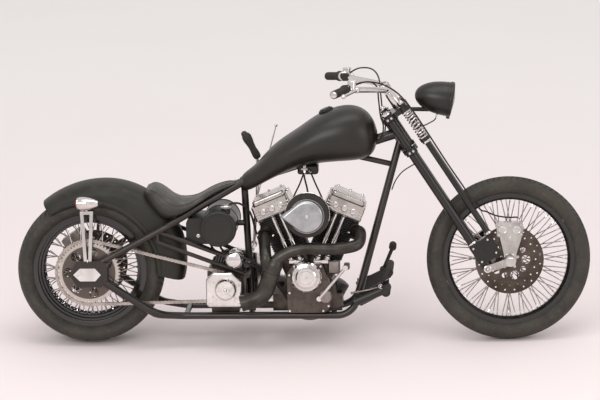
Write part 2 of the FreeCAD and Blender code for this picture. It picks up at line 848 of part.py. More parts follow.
def on_cylinder(shape, side):
    # shape drawn with Z up the cylinder axis from the crankshaft, X towards the front of the bike
    turn = FreeCAD.Rotation(vec(0, 1, 0), side * cylinder_half_angle)
    shape.Placement = FreeCAD.Placement(crank, turn).multiply(shape.Placement)
    return shape


def cylinder_point(side, ahead, across, up):
    turn = FreeCAD.Rotation(vec(0, 1, 0), side * cylinder_half_angle)
    return crank + turn.multVec(vec(ahead, across, up))


def round_slab(half_length, half_side, low, high, corner):
    slab = block(-half_length, half_length, -half_side, half_side, low, high)
    return rounded(slab, corner, upright)


def upright(edge):
    if not isinstance(edge.Curve, Part.Line):
        return False
    direction = edge.tangentAt(edge.FirstParameter)
    return abs(direction.z) > 0.9


def crankcase():
    case = cross_rod(crank.x, crank.z, -case_right, case_left, case_radius)
    parts = [case]
    for side in (1, -1):
        deck = round_slab(deck_half_width, case_right - part_gap, case_radius / 2, deck_distance, fin_corner_radius)
        parts.append(on_cylinder(deck, side))
    feet = block(crank.x - case_radius * 1.35, crank.x + case_radius * 1.2, -case_right, case_right,
                 cradle_height + cross_bar_radius + part_gap, crank.z)
    parts.append(feet)
    chest = []
    for x_share, z_share in chest_shares:
        chest.append((crank.x + case_radius * x_share * 0.8, crank.z + case_radius * z_share * 0.78))
    chest_block = plate(chest, -chest_right, -case_right)
    parts.append(rounded(chest_block, rocker_corner_radius, along_y))
    whole = fused(parts)
    for side in (1, -1):
        slot = round_slab(fin_half_length, fin_half_side + overrun, deck_distance, deck_distance * 2, fin_corner_radius)
        whole = whole.cut(on_cylinder(slot, side))
    return whole


def cylinder(side):
    parts = [Part.makeCylinder(barrel_radius, rocker_distance - seat_gap - deck_distance, vec(0, 0, deck_distance))]
    level = deck_distance + fin_pitch
    while level < rocker_distance - fin_pitch:
        in_head = level > head_distance
        half_length = head_half_length if in_head else fin_half_length
        half_side = head_half_side if in_head else fin_half_side
        parts.append(round_slab(half_length, half_side, level, level + fin_thickness, fin_corner_radius))
        level += fin_pitch
    head = round_slab(head_half_length * head_core_share, head_half_side * head_core_share, head_distance,
                      rocker_distance - seat_gap, fin_corner_radius)
    port = port_stub(side)
    return fused([on_cylinder(part, side) for part in parts + [head]] + [port])


head_core_share = 0.8
port_radius = 27.0
port_up = 319.0
port_across = 66.0


port_ahead = 66.0
port_length = 18.0
front_port_shares = (0.62, -0.78, 0.06)
rear_port_shares = (-0.06, -0.85, -0.52)


def port_mouth(side):
    # centre of the exhaust port's mouth and the direction that it faces
    ahead, right, up = front_port_shares if side > 0 else rear_port_shares
    out = unit(vec(ahead, right, up))
    return cylinder_point(side, side * port_ahead, -port_across, port_up) + out * port_length, out


def port_stub(side):
    mouth, out = port_mouth(side)
    return rod(mouth - out * port_length * 3, mouth, port_radius)


def rocker_box(side):
    base = round_slab(rocker_half_length, rocker_half_side, rocker_distance, rocker_distance + rocker_height,
                      rocker_corner_radius)
    lid = round_slab(rocker_half_length * 0.86, rocker_half_side * 0.84, rocker_distance + rocker_height,
                     rocker_distance + rocker_height + rocker_cap_height, rocker_corner_radius)
    whole = fused([base, lid])
    whole = rounded(whole, rocker_corner_radius * 0.6, lambda edge: on_level(edge, rocker_distance + rocker_height
                                                                              + rocker_cap_height))
    return on_cylinder(whole, side)


def on_level(edge, level):
    return abs(edge.BoundBox.ZMin - level) < seat_gap and abs(edge.BoundBox.ZMax - level) < seat_gap


pushrod_radius = 9.0
pushrod_y = 90.0
pushrod_lift = 2.0
pushrod_foot_shares = (0.28, 0.62)
pushrod_head_shares = (-0.30, 0.12)
tappet_radius = 13.0


def pushrod_tube(side, index):
    foot = vec(crank.x + side * case_radius * pushrod_foot_shares[index], -pushrod_y - pushrod_radius,
               crank.z + case_radius * 1.55 * 0.78 + pushrod_lift)
    head = cylinder_point(side, side * rocker_half_length * pushrod_head_shares[index], -pushrod_y + pushrod_radius * 0.2,
                          rocker_distance - seat_gap)
    axis = unit(head - foot)
    collar = rod(foot + axis * pushrod_radius * 0.4, foot + axis * tappet_radius * 2, tappet_radius)
    return fused([rod(foot + axis * pushrod_radius * 0.4, head, pushrod_radius), collar])


cam_cover_radius = 66.0
cam_cover_depth = 20.0
cam_dome_radius = 46.0
cam_dome_depth = 8.0


def cam_cover():
    x = crank.x - case_radius * 0.08
    z = crank.z + cam_height
    face = -chest_right - seat_gap
    outline = [
        (0.0, face), (cam_cover_radius, face), (cam_cover_radius, face - cam_cover_depth * 0.45),
        (cam_cover_radius * 0.9, face - cam_cover_depth * 0.8), (cam_dome_radius, face - cam_cover_depth),
        (cam_dome_radius * 0.97, face - cam_cover_depth - cam_dome_depth * 0.6),
        (cam_dome_radius * 0.84, face - cam_cover_depth - cam_dome_depth), (0.0, face - cam_cover_depth - cam_dome_depth),
    ]
    return turned(outline, x, z)


filter_radius = 92.0
filter_back = 170.0
filter_front = 208.0
cover_radius = 70.0
cover_depth = 22.0
cover_tail = 112.0
intake_up = 360.0
carburettor_radius = 32.0
manifold_radius = 22.0
manifold_up = 330.0


def air_filter():
    body = cross_rod(crank.x, crank.z + intake_up, -filter_front, -filter_back, filter_radius)
    return rounded(body, fin_thickness * 2, lambda edge: abs(edge.BoundBox.YMin + filter_front) < seat_gap
                   and edge.BoundBox.YLength < seat_gap)


def air_cleaner_cover():
    # round dome that runs out rearwards into a teardrop tail
    x = crank.x
    z = crank.z + intake_up
    face = -filter_front - seat_gap
    touch = math.acos(cover_radius / cover_tail)
    high = vec(x - cover_radius * math.cos(touch), face, z + cover_radius * math.sin(touch))
    low = vec(x - cover_radius * math.cos(touch), face, z - cover_radius * math.sin(touch))
    tip = vec(x - cover_tail, face, z)
    edges = [
        Part.Arc(high, vec(x + cover_radius, face, z), low).toShape(),
        Part.LineSegment(low, tip).toShape(),
        Part.LineSegment(tip, high).toShape(),
    ]
    body = Part.Face(Part.Wire(edges)).extrude(vec(0, -cover_depth, 0))
    return rounded(body, cover_depth * 0.6, lambda edge: edge.BoundBox.YMax < face - cover_depth + seat_gap)


def carburettor():
    x = crank.x
    z = crank.z + intake_up
    body = cross_rod(x, z, -filter_back + seat_gap, -carburettor_radius, carburettor_radius)
    bowl = Part.makeCylinder(carburettor_radius * 0.8, carburettor_radius * 1.6,
                             vec(x, -filter_back * 0.62, z - carburettor_radius * 1.9))
    reach = intake_reach
    front = cylinder_point(1, -reach, 0, manifold_up)
    rear = cylinder_point(-1, reach, 0, manifold_up)
    middle = vec(x, 0, z)
    return fused([
        body, bowl,
        rod(middle, front, manifold_radius), rod(middle, rear, manifold_radius),
        Part.makeSphere(manifold_radius * 1.25, middle), cross_rod(x, z, -carburettor_radius, 0, manifold_radius)])


intake_reach = 84.0


# Exhaust: points as shares of the engine's reach, from the crankshaft: ahead, left, up
exhaust_reach = 480.0
header_radius = 22.5
collector_radius = 31.0
pipe_wall = 2.5
outlet_depth = 60.0
port_run = 46.0
front_header_shares = ((0.44, -0.365, 0.485), (0.28, -0.415, 0.455), (-0.02, -0.415, 0.468), (-0.25, -0.415, 0.39))
rear_header_shares = ((-0.37, -0.415, 0.37),)
collector_shares = ((-0.27, -0.415, 0.375), (-0.385, -0.415, 0.17), (-0.59, -0.415, -0.035))


def engine_point(shares):
    ahead, left, up = shares
    return crank + vec(ahead, left, up) * exhaust_reach


def exhaust(cylinders):
    pieces = []
    join = engine_point(collector_shares[0])
    for side, shares in ((1, front_header_shares), (-1, rear_header_shares)):
        mouth, out = port_mouth(side)
        start = mouth + out * seat_gap
        path = [start, start + out * port_run] + [engine_point(point) for point in shares]
        if side < 0:
            path.append(engine_point(collector_shares[1]))
        pieces.append(bent_bar(path, header_bends(path), header_radius))
        pieces.append(rod(start, start + out * flange_thickness, header_radius + flange_rim))
    tail = [join] + [engine_point(point) for point in collector_shares[1:]]
    pieces.append(bent_bar(tail, header_bends(tail), collector_radius))
    pieces.append(Part.makeSphere(collector_radius, join))
    end = tail[-1]
    inward = unit(tail[-2] - end)
    whole = fused(pieces).cut(cylinders[0]).cut(cylinders[1])
    return whole.cut(rod(end - inward * overrun, end + inward * outlet_depth, collector_radius - pipe_wall))


flange_thickness = 8.0
flange_rim = 9.0
bend_share = 0.42


def header_bends(points):
    # each bend as large as its two runs allow
    radii = []
    for index in range(1, len(points) - 1):
        before = points[index - 1] - points[index]
        after = points[index + 1] - points[index]
        half = before.getAngle(after) / 2
        radii.append(bend_share * min(before.Length, after.Length) * math.tan(half))
    return radii


# Transmission, primary drive and oil tank
gearbox_length = 168.0
gearbox_half_width = 80.0
gearbox_height = 172.0
gearbox_corner_radius = 18.0
top_rib_thickness = 5.0
top_rib_pitch = 12.0
top_rib_height = 22.0
boss_radius = 45.0
boss_depth = 22.0
side_cover_height = 150.0
side_cover_depth = 27.0
side_cover_y = 140.0
output_shaft_radius = 16.0


def gearbox_box():
    low = output_shaft_height - gearbox_height * 0.55
    return (output_shaft_x - gearbox_length * 0.5, output_shaft_x + gearbox_length * 0.42, low, low + gearbox_height)


def transmission():
    back, front, low, high = gearbox_box()
    body = rounded(block(back, front, -gearbox_half_width, gearbox_half_width, low, high), gearbox_corner_radius,
                   along_y)
    ribs = []
    x = back + gearbox_corner_radius
    while x < front - gearbox_corner_radius:
        ribs.append(block(x, x + top_rib_thickness, -gearbox_half_width * 0.8, gearbox_half_width * 0.8, high - overrun,
                          high + top_rib_height))
        x += top_rib_pitch
    shaft = cross_rod(output_shaft_x, output_shaft_height, -side_cover_y, -gearbox_half_width + overrun,
                      output_shaft_radius)
    wheel = sprocket(output_shaft_x, output_shaft_height, front_sprocket_teeth, output_shaft_radius - shaft_fit,
                     -chain_plane_y)
    foot_low = cradle_height + cross_bar_radius + seat_gap
    foot = block(back + gearbox_corner_radius, front - gearbox_corner_radius, -cradle_half_width + frame_tube_radius
                 + part_gap, cradle_half_width - frame_tube_radius - part_gap, foot_low, low + overrun)
    return fused([body, shaft, wheel, foot] + ribs)


def transmission_cover():
    back, front, low, high = gearbox_box()
    face = -side_cover_y - seat_gap
    base = output_shaft_height - side_cover_height * 0.52
    outline = [(back, base), (front, base), (front, base + side_cover_height * 0.72),
               (front - side_cover_height * 0.3, base + side_cover_height), (back + side_cover_height * 0.2,
                                                                            base + side_cover_height),
               (back, base + side_cover_height * 0.8)]
    body = plate(outline, face - side_cover_depth, face)
    body = rounded(body, gearbox_corner_radius, along_y)
    front_y = face - side_cover_depth
    body = rounded(body, gearbox_corner_radius * 0.5, lambda edge: edge.BoundBox.YMax < front_y + seat_gap)
    boss = turned([(0.0, front_y + overrun), (boss_radius, front_y + overrun), (boss_radius, front_y - boss_depth * 0.6),
                   (boss_radius * 0.88, front_y - boss_depth), (0.0, front_y - boss_depth)],
                  output_shaft_x, output_shaft_height)
    return fused([body, boss])


primary_front_radius = 82.0
primary_rear_radius = 105.0
primary_inner_y = 129.0
primary_outer_y = 177.0
primary_edge_radius = 12.0
clutch_x = 600.0
clutch_height = 266.0
derby_radius = 68.0
derby_depth = 7.0


def primary_cover():
    body = stadium(clutch_x, clutch_height, primary_rear_radius, crank.x, crank.z, primary_front_radius,
                   primary_inner_y, primary_outer_y)
    body = rounded(body, primary_edge_radius, lambda edge: edge.BoundBox.YMin > primary_outer_y - seat_gap)
    derby = turned([(0.0, primary_outer_y - overrun), (derby_radius, primary_outer_y - overrun),
                    (derby_radius, primary_outer_y + derby_depth * 0.5),
                    (derby_radius - derby_depth, primary_outer_y + derby_depth), (0.0, primary_outer_y + derby_depth)],
                   clutch_x, clutch_height)
    gear_bridge = cross_rod(clutch_x, clutch_height, gearbox_half_width + seat_gap, primary_inner_y + overrun,
                            boss_radius)
    engine_bridge = cross_rod(crank.x, crank.z, case_left + seat_gap, primary_inner_y + overrun, boss_radius)
    return fused([body, derby, gear_bridge, engine_bridge])


oil_tank_x = 559.0
oil_tank_height = 508.0
oil_tank_radius = 75.0
oil_tank_half_width = 152.0
oil_lobe_back_x = 418.0
oil_lobe_half_width = 98.0
oil_lobe_height = 124.0
oil_cap_radius = 20.0
oil_cap_height = 14.0


def oil_tank(seat_post):
    drum = cross_rod(oil_tank_x, oil_tank_height, -oil_tank_half_width, oil_tank_half_width, oil_tank_radius)
    drum = rounded(drum, fin_thickness * 2, lambda edge: edge.BoundBox.YLength < seat_gap)
    lobe = block(oil_lobe_back_x, oil_tank_x, -oil_lobe_half_width, oil_lobe_half_width,
                 oil_tank_height - oil_lobe_height * 0.6, oil_tank_height + oil_lobe_height * 0.3)
    lobe = rounded(lobe, oil_lobe_height * 0.2, along_y)
    cap = Part.makeCylinder(oil_cap_radius, oil_tank_radius + oil_cap_height,
                            vec(oil_tank_x + oil_tank_radius * 0.4, -oil_lobe_half_width, oil_tank_height))
    bracket = rod(vec(oil_tank_x, 0, oil_tank_height), vec(seat_post_x - frame_tube_radius, 0, oil_tank_height),
                  cross_bar_radius)
    return fused([drum, lobe, cap, bracket]).cut(seat_post)


# Rear axle, its covers and the rear caliper
axle_cover_length = 118.0
axle_cover_height = 55.0
axle_cover_depth = 9.0
axle_cover_shift = -2.0


def axle_spacer(centre, y_from, y_to, radius):
    low = min(y_from, y_to)
    high = max(y_from, y_to)
    return cross_rod(centre.x, centre.z, low, high, radius)


def rear_axle_piece():
    outer = axle_plate_y + axle_plate_thickness / 2 + seat_gap
    half = axle_cover_length / 2
    tall = axle_cover_height / 2
    cover = plate([
        (-half + axle_cover_shift, rear_tyre_radius), (-half * 0.55, rear_tyre_radius - tall),
        (half * 0.55, rear_tyre_radius - tall), (half + axle_cover_shift, rear_tyre_radius),
        (half * 0.55, rear_tyre_radius + tall), (-half * 0.55, rear_tyre_radius + tall)],
        outer, outer + axle_cover_depth)
    shaft = cross_rod(0, rear_tyre_radius, -outer - axle_cover_depth / 2, outer + axle_cover_depth / 2, axle_radius)
    spacers = []
    inner = axle_plate_y - axle_plate_thickness / 2 - seat_gap
    for side, hub_end in ((1, rear_hub_left_end), (-1, rear_hub_right_end)):
        spacers.append(axle_spacer(rear_axle, side * inner, side * (hub_end + part_gap), spacer_radius))
    return fused([shaft, cover, mirrored(cover)] + spacers)


spacer_radius = 19.0
rear_hub_right_end = 132.0
rear_hub_left_end = 103.0
caliper_length = 112.0
caliper_height = 62.0
caliper_half_depth = 26.0


def caliper_body(centre, y, radius, turn_angle):
    # block that straddles the disc's edge, with a slot for the disc
    half = caliper_length / 2
    low = radius - caliper_height * 0.72
    high = radius + caliper_height * 0.28
    body = block(-half, half, y - caliper_half_depth, y + caliper_half_depth, low, high)
    body = rounded(body, fin_thickness * 3, along_y)
    gap = disc_thickness / 2 + moving_gap
    slot = cross_rod(0, 0, y - gap, y + gap, radius + moving_gap)
    body = body.cut(slot)
    body.rotate(vec(0, 0, 0), vec(0, 1, 0), turn_angle)
    body.translate(centre)
    return body


def rear_caliper():
    body = caliper_body(rear_axle, rear_disc_y, rear_disc_radius, rear_caliper_turn)
    reach = rear_disc_radius * 0.86
    turn = math.radians(rear_caliper_turn)
    middle = rear_axle + vec(math.sin(turn) * reach, 0, math.cos(turn) * reach)
    side = rear_disc_y + caliper_half_depth - overrun
    carrier_y = (side, side + carrier_thickness)
    carrier = plate([(0.0 - spacer_radius * 1.6, rear_tyre_radius), (spacer_radius * 1.6, rear_tyre_radius),
                     (middle.x + caliper_length * 0.3, middle.z), (middle.x - caliper_length * 0.3, middle.z)],
                    carrier_y[0], carrier_y[1])
    ring = cross_rod(0, rear_tyre_radius, carrier_y[0], carrier_y[1], spacer_radius * 1.6)
    hole = cross_rod(0, rear_tyre_radius, carrier_y[0] - overrun, carrier_y[1] + overrun, spacer_radius + shaft_fit)
    return fused([body, carrier, ring]).cut(hole)


rear_caliper_turn = -35.0
carrier_thickness = 6.0


# Forward controls and shift lever
control_x = 1155.0
control_height = 205.0
control_y = 150.0
peg_reach = 120.0
peg_radius = 15.0
control_length = 128.0
pedal_rise = 98.0
pedal_arm_width = 16.0
control_arm_thickness = 10.0
cylinder_body_radius = 19.0
mount_post_radius = 12.0


def forward_control(side):
    # bracket welded to the downtube, foot peg, and a pedal arm with its pad
    anchor = downtube_at(control_height + cylinder_body_radius, side)
    plate_low = control_y - control_arm_thickness
    tilt = control_tilt_share * control_length
    bracket = plate([
        (control_x - cylinder_body_radius, control_height - cylinder_body_radius),
        (control_x + cylinder_body_radius * 0.5, control_height - cylinder_body_radius * 1.6),
        (control_x + control_length, control_height + tilt - cylinder_body_radius),
        (control_x + control_length, control_height + tilt + cylinder_body_radius * 1.8),
        (control_x + control_length * 0.3, control_height + cylinder_body_radius * 2.2),
        (control_x - cylinder_body_radius, control_height + cylinder_body_radius * 1.4)],
        side * control_y - control_arm_thickness / 2, side * control_y + control_arm_thickness / 2)
    post = rod(vec(anchor.x, anchor.y, anchor.z), vec(anchor.x, side * control_y, anchor.z), mount_post_radius)
    post = post.cut(rod(downtube_split(side), downtube_points(side)[0], frame_tube_radius))
    outer = side * (control_y + control_arm_thickness / 2)
    hydraulic = rod(vec(control_x - cylinder_body_radius, outer + side * cylinder_body_radius * 0.9, control_height
                        - cylinder_body_radius * 0.6),
                    vec(control_x + control_length * 0.8, outer + side * cylinder_body_radius * 0.9,
                        control_height + tilt * 0.8), cylinder_body_radius)
    peg_x = control_x + control_length * 0.92
    peg_z = control_height + tilt
    peg = rod(vec(peg_x, outer - side * overrun, peg_z), vec(peg_x, outer + side * peg_reach, peg_z), peg_radius)
    collar = rod(vec(peg_x, outer - side * overrun, peg_z), vec(peg_x, outer + side * peg_radius, peg_z),
                 peg_radius * 1.3)
    lever_y = side * (control_y + control_arm_thickness / 2 + cylinder_body_radius * 1.2)
    pivot = vec(peg_x - peg_radius * 1.6, lever_y, peg_z + peg_radius * 0.6)
    top = pivot + vec(pedal_rise * 0.42, 0, pedal_rise)
    arm = fused([rod(pivot - vec(0, control_arm_thickness / 2, 0), pivot + vec(0, control_arm_thickness / 2, 0),
                     pedal_arm_width),
                 rod(pivot, top, pedal_arm_width * 0.5)])
    pad = rod(top, top + vec(0, side * pedal_pad_length, 0), pedal_arm_width * 0.85)
    hanger = rod(vec(pivot.x, outer - side * overrun, pivot.z), pivot, mount_post_radius)
    return fused([bracket, post, hydraulic, peg, collar, arm, pad, hanger])


control_tilt_share = 0.4
pedal_pad_length = 62.0

shift_y = 124.0
shift_lever_radius = 7.0
shift_grip_radius = 14.0
shift_pivot_height = 392.0
shift_height = 480.0
shift_point_shares = ((0.0, 0.0), (0.035, 0.42), (0.045, 0.78), (-0.07, 1.0))
shift_bend_radius = 60.0
shift_grip_share = 0.8
shift_boss_radius = 15.0


def post_x_at(height):
    share = (height - cradle_height) / (seat_junction_height - cradle_height)
    return seat_post_x + share * (seat_junction_x - seat_post_x)


def shift_lever(seat_post):
    # hand lever on a pivot tube from the seat post: bent stalk and a waisted grip
    x = post_x_at(shift_pivot_height)
    pivot = vec(x + shift_boss_radius, shift_y, shift_pivot_height)
    points = [pivot + vec(ahead, 0, up) * shift_height for ahead, up in shift_point_shares]
    stalk = bent_bar(points, [shift_bend_radius, shift_bend_radius], shift_lever_radius)
    carrier = rod(vec(pivot.x, 0, pivot.z), pivot + vec(0, shift_boss_radius, 0), shift_boss_radius * 0.7)
    boss = rod(pivot - vec(0, shift_boss_radius * 0.8, 0), pivot + vec(0, shift_boss_radius * 0.8, 0),
               shift_boss_radius)
    top = points[-1]
    grip_start = points[-2] + (top - points[-2]) * (1 - shift_grip_share)
    middle = (top + grip_start) * 0.5
    axis = unit(top - grip_start)
    half = (top - middle).Length
    grip = [Part.makeCone(shift_grip_radius, shift_grip_radius * 0.78, half, grip_start, axis),
            Part.makeCone(shift_grip_radius * 0.78, shift_grip_radius, half, middle, axis),
            Part.makeSphere(shift_grip_radius, top)]
    return fused([stalk, carrier, boss] + grip).cut(seat_post)


# Fork, drawn in the fork frame: X ahead of the steering axis, Z up along it
tree_half_depth = 15.0
leg_clamp_radius = 27.0
ear_radius = 22.0
leg_top = 80.0
block_top = -585.0
block_bottom = -682.0
block_back = -24.0
block_front = 80.0
pivot_ahead = -7.0
pivot_up = -704.0
spring_bottom = -86.0
spring_radius = 19.0
spring_turns = 8
crown_thickness = 16.0
stem_cap_radius = 21.0


def fork_trees():
    top_low = neck_top + seat_gap
    top_high = top_low + tree_top_thickness
    low_high = -neck_bottom - seat_gap
    low_low = low_high - tree_thickness
    pieces = [Part.makeCylinder(stem_radius, top_high - low_low, vec(0, 0, low_low))]
    for low, high in ((top_low, top_high), (low_low, low_high)):
        pieces.append(Part.makeCylinder(neck_radius + cup_rim, high - low, vec(0, 0, low)))
        pieces.append(block(-tree_half_depth, tree_half_depth, -fork_leg_spacing, fork_leg_spacing, low, high))
        for side in (1, -1):
            pieces.append(Part.makeCylinder(leg_clamp_radius, high - low, vec(0, side * fork_leg_spacing, low)))
    outline = []
    for ahead_share, side_share in top_plate_shares:
        outline.append(vec(front_leg_ahead * ahead_share, spring_side * side_share, top_low))
    outline += [vec(point.x, -point.y, point.z) for point in reversed(outline)]
    top_plate = Part.Face(Part.makePolygon(outline + outline[:1])).extrude(vec(0, 0, tree_top_thickness))
    pieces.append(top_plate)
    for side in (1, -1):
        pieces.append(Part.makeCylinder(ear_radius, tree_top_thickness, vec(front_leg_ahead, side * spring_side,
                                                                            top_low)))
    pieces.append(Part.makeCylinder(stem_cap_radius, stem_cap_height, vec(0, 0, top_high)))
    whole = fused(pieces)
    cuts = []
    for side in (1, -1):
        cuts.append(Part.makeCylinder(rear_leg_radius + shaft_fit, leg_top * 4, vec(0, side * fork_leg_spacing,
                                                                                    -leg_top * 2)))
        cuts.append(Part.makeCylinder(spring_rod_radius + shaft_fit, leg_top, vec(front_leg_ahead, side * spring_side,
                                                                                  leg_top * 0.2)))
    return in_fork_frame(whole.cut(Part.makeCompound(cuts)))


spring_side = 92.0
top_plate_shares = ((-0.3, 0.5), (-0.2, 0.95), (0.6, 1.1), (1.1, 1.16), (1.24, 0.82), (1.3, 0.3))
spring_rod_radius = 7.0
stem_cap_height = 12.0
nut_radius = 13.0
nut_height = 14.0


def rear_fork_legs():
    legs = []
    for side in (1, -1):
        y = side * fork_leg_spacing
        top = vec(0, y, leg_top)
        foot = vec(pivot_ahead, y, pivot_up)
        leg = Part.makeCylinder(rear_leg_radius, (top - foot).Length, foot, vec(0, 0, 1))
        leg = rod(vec(0, y, pivot_up), top, rear_leg_radius)
        lug = block(block_back, block_front, y - block_half_depth, y + block_half_depth, block_bottom, block_top)
        lug = rounded(lug, rear_leg_radius * 0.3, along_y)
        boss = Part.makeCylinder(rear_leg_radius, 2 * block_half_depth, vec(pivot_ahead, y - block_half_depth,
                                                                            pivot_up), vec(0, 1, 0))
        bore = Part.makeCylinder(pivot_bolt_radius + shaft_fit, 4 * block_half_depth,
                                 vec(pivot_ahead, y - 2 * block_half_depth, pivot_up), vec(0, 1, 0))
        legs.append(in_fork_frame(fused([leg, lug, boss]).cut(bore)))
    return Part.makeCompound(legs)


block_half_depth = 19.0
pivot_bolt_radius = 8.0


def front_fork_legs():
    # spring legs with the crown that joins their tops, and the rods that carry the springs
    crown_low = spring_bottom - crown_thickness - seat_gap
    pieces = []
    for side in (1, -1):
        y = side * spring_side
        pieces.append(Part.makeCylinder(front_leg_radius, crown_low - block_top, vec(front_leg_ahead, y, block_top
                                                                                   + seat_gap)))
        pieces.append(Part.makeCylinder(ear_radius, crown_thickness, vec(front_leg_ahead, y, crown_low)))
        rod_top = neck_top + tree_top_thickness + nut_height
        pieces.append(Part.makeCylinder(spring_rod_radius, rod_top - crown_low, vec(front_leg_ahead, y, crown_low)))
        pieces.append(Part.makeCylinder(nut_radius, nut_height, vec(front_leg_ahead, y, neck_top + tree_top_thickness
                                                                    + 2 * seat_gap)))
    bar = block(front_leg_ahead - crown_thickness * 0.7, front_leg_ahead + crown_thickness * 0.7, -spring_side,
                spring_side, crown_low, crown_low + crown_thickness)
    return in_fork_frame(fused(pieces + [bar]))


def fork_springs():
    # coils drawn as a row of ridges between two flat collars, bored for the rod
    height = neck_top - spring_bottom
    free = height - 2 * collar_height
    pitch = free / spring_turns
    bore = spring_rod_radius + shaft_fit
    outline = [(bore, 0.0), (spring_radius, 0.0), (spring_radius, collar_height)]
    for index in range(spring_turns):
        low = collar_height + pitch * index
        outline += [(sleeve_radius, low + pitch * 0.15), (spring_radius, low + pitch * 0.35),
                    (spring_radius, low + pitch * 0.65), (sleeve_radius, low + pitch * 0.85)]
    outline += [(spring_radius, height - collar_height), (spring_radius, height), (bore, height)]
    springs = []
    for side in (1, -1):
        corners = [vec(front_leg_ahead + radius, side * spring_side, spring_bottom + up)
                   for radius, up in outline]
        face = Part.Face(Part.makePolygon(corners + corners[:1]))
        spring = face.revolve(vec(front_leg_ahead, side * spring_side, spring_bottom), vec(0, 0, 1), 360)
        springs.append(in_fork_frame(spring))
    return Part.makeCompound(springs)


collar_height = 8.0
sleeve_radius = 12.0
rocker_thickness = 12.0
rocker_half_height = 14.0


def fork_rockers():
    arms = []
    inner = fork_leg_spacing + block_half_depth + seat_gap
    axle_x = fork_offset
    axle_z = -fork_drop
    for side in (1, -1):
        low = inner if side > 0 else -inner - rocker_thickness
        arm = stadium(pivot_ahead, pivot_up, rocker_half_height, axle_x, axle_z, rocker_half_height * 1.2, low,
                      low + rocker_thickness)
        bolt_end = -(2 * block_half_depth)
        bolt_low = inner - 2 * block_half_depth if side > 0 else -inner - rocker_thickness - bolt_head
        bolt = Part.makeCylinder(pivot_bolt_radius, 2 * block_half_depth + rocker_thickness + bolt_head,
                                 vec(pivot_ahead, bolt_low, pivot_up), vec(0, 1, 0))
        hole = Part.makeCylinder(axle_radius + shaft_fit, rocker_thickness + 2 * overrun,
                                 vec(axle_x, low - overrun, axle_z), vec(0, 1, 0))
        arms.append(in_fork_frame(fused([arm, bolt]).cut(hole)))
    return Part.makeCompound(arms)


bolt_head = 6.0
front_axle_bore = 7.0
front_axle_half_length = 140.0
nut_thickness = 12.0
axle_nut_radius = 19.0
front_spacer_radius = 18.0


def front_axle_piece():
    rocker_outer = fork_leg_spacing + block_half_depth + seat_gap + rocker_thickness + seat_gap
    rocker_inner = fork_leg_spacing + block_half_depth
    hub_right = disc_plane_y + disc_thickness / 2 + hub_boss_gap
    bracket_out = caliper_plate_y + caliper_plate_thickness / 2 + seat_gap
    bracket_in = caliper_plate_y - caliper_plate_thickness / 2 - seat_gap
    pieces = [cross_rod(front_axle.x, front_axle.z, -front_axle_half_length, front_axle_half_length, axle_radius)]
    for side in (1, -1):
        pieces.append(axle_spacer(front_axle, side * rocker_outer, side * (rocker_outer + nut_thickness),
                                  axle_nut_radius))
    pieces.append(axle_spacer(front_axle, -rocker_inner, -bracket_out, front_spacer_radius))
    pieces.append(axle_spacer(front_axle, -bracket_in, -hub_right - part_gap, front_spacer_radius))
    pieces.append(axle_spacer(front_axle, front_hub_half_length + hub_boss_gap + part_gap, rocker_inner,
                              front_spacer_radius))
    bore = cross_rod(front_axle.x, front_axle.z, -front_axle_half_length - overrun, front_axle_half_length + overrun,
                     front_axle_bore)
    return fused(pieces).cut(bore)


hub_boss_gap = 4.0
caliper_plate_y = 84.0
caliper_plate_thickness = 8.0
caliper_plate_shares = ((-0.36, 0.98), (0.42, 0.98), (0.31, 0.56), (0.19, 0.2), (0.16, -0.14), (-0.16, -0.14),
                        (-0.18, 0.2))


def front_caliper():
    body = caliper_body(front_axle, -disc_plane_y, disc_radius, 0)
    points = []
    for x_share, z_share in caliper_plate_shares:
        points.append((front_axle.x + disc_radius * x_share, front_axle.z + disc_radius * z_share))
    bracket = plate(points, -caliper_plate_y - caliper_plate_thickness / 2,
                    -caliper_plate_y + caliper_plate_thickness / 2)
    hole = cross_rod(front_axle.x, front_axle.z, -caliper_plate_y * 2, 0, axle_radius + shaft_fit)
    return fused([body, bracket]).cut(hole)


# Handlebar, grips, controls and headlight
riser_ahead = 60.0
riser_side = 45.0
riser_radius = 15.0
riser_top = 160.0
clamp_radius = 21.0
clamp_half_width = 17.0
bar_radius = 12.7
bar_up = 170.0
bar_knee_side = 118.0
bar_shoulder_side = 300.0
bar_shoulder_back = 178.0
bar_end_side = 410.0
bar_end_back = 232.0
bar_rise = 22.0
bar_end_drop = 10.0
bar_bend_radius = 55.0
grip_radius = 17.5
grip_length = 112.0


def bar_points(side):
    # corners of the bar's centre line from its middle out to one end, pulled back towards the rider
    centre = on_fork(riser_ahead, 0, bar_up)
    return [
        centre + vec(0, side * bar_knee_side, 0),
        centre + vec(-bar_shoulder_back, side * bar_shoulder_side, bar_rise),
        centre + vec(-bar_end_back, side * bar_end_side, bar_rise - bar_end_drop),
    ]


def handlebar():
    left = bar_points(1)
    right = bar_points(-1)
    radii = [bar_bend_radius * 1.6, bar_bend_radius, bar_bend_radius, bar_bend_radius * 1.6]
    pieces = [bent_bar(left[::-1] + right, radii, bar_radius)]
    low = neck_top + tree_top_thickness + seat_gap + seat_gap
    for side in (1, -1):
        y = side * riser_side
        pieces.append(rod(on_fork(riser_ahead, y, low), on_fork(riser_ahead, y, riser_top), riser_radius))
        pieces.append(rod(on_fork(riser_ahead, y - clamp_half_width, bar_up),
                          on_fork(riser_ahead, y + clamp_half_width, bar_up), clamp_radius))
    bridge_up = low + riser_radius * 0.7
    pieces.append(rod(on_fork(riser_ahead, -riser_side, bridge_up), on_fork(riser_ahead, riser_side, bridge_up),
                      riser_radius * 0.6))
    return fused(pieces)


def bar_end_frame(side):
    # end of the bar and its inward direction
    points = bar_points(side)
    return points[-1], unit(points[-2] - points[-1])


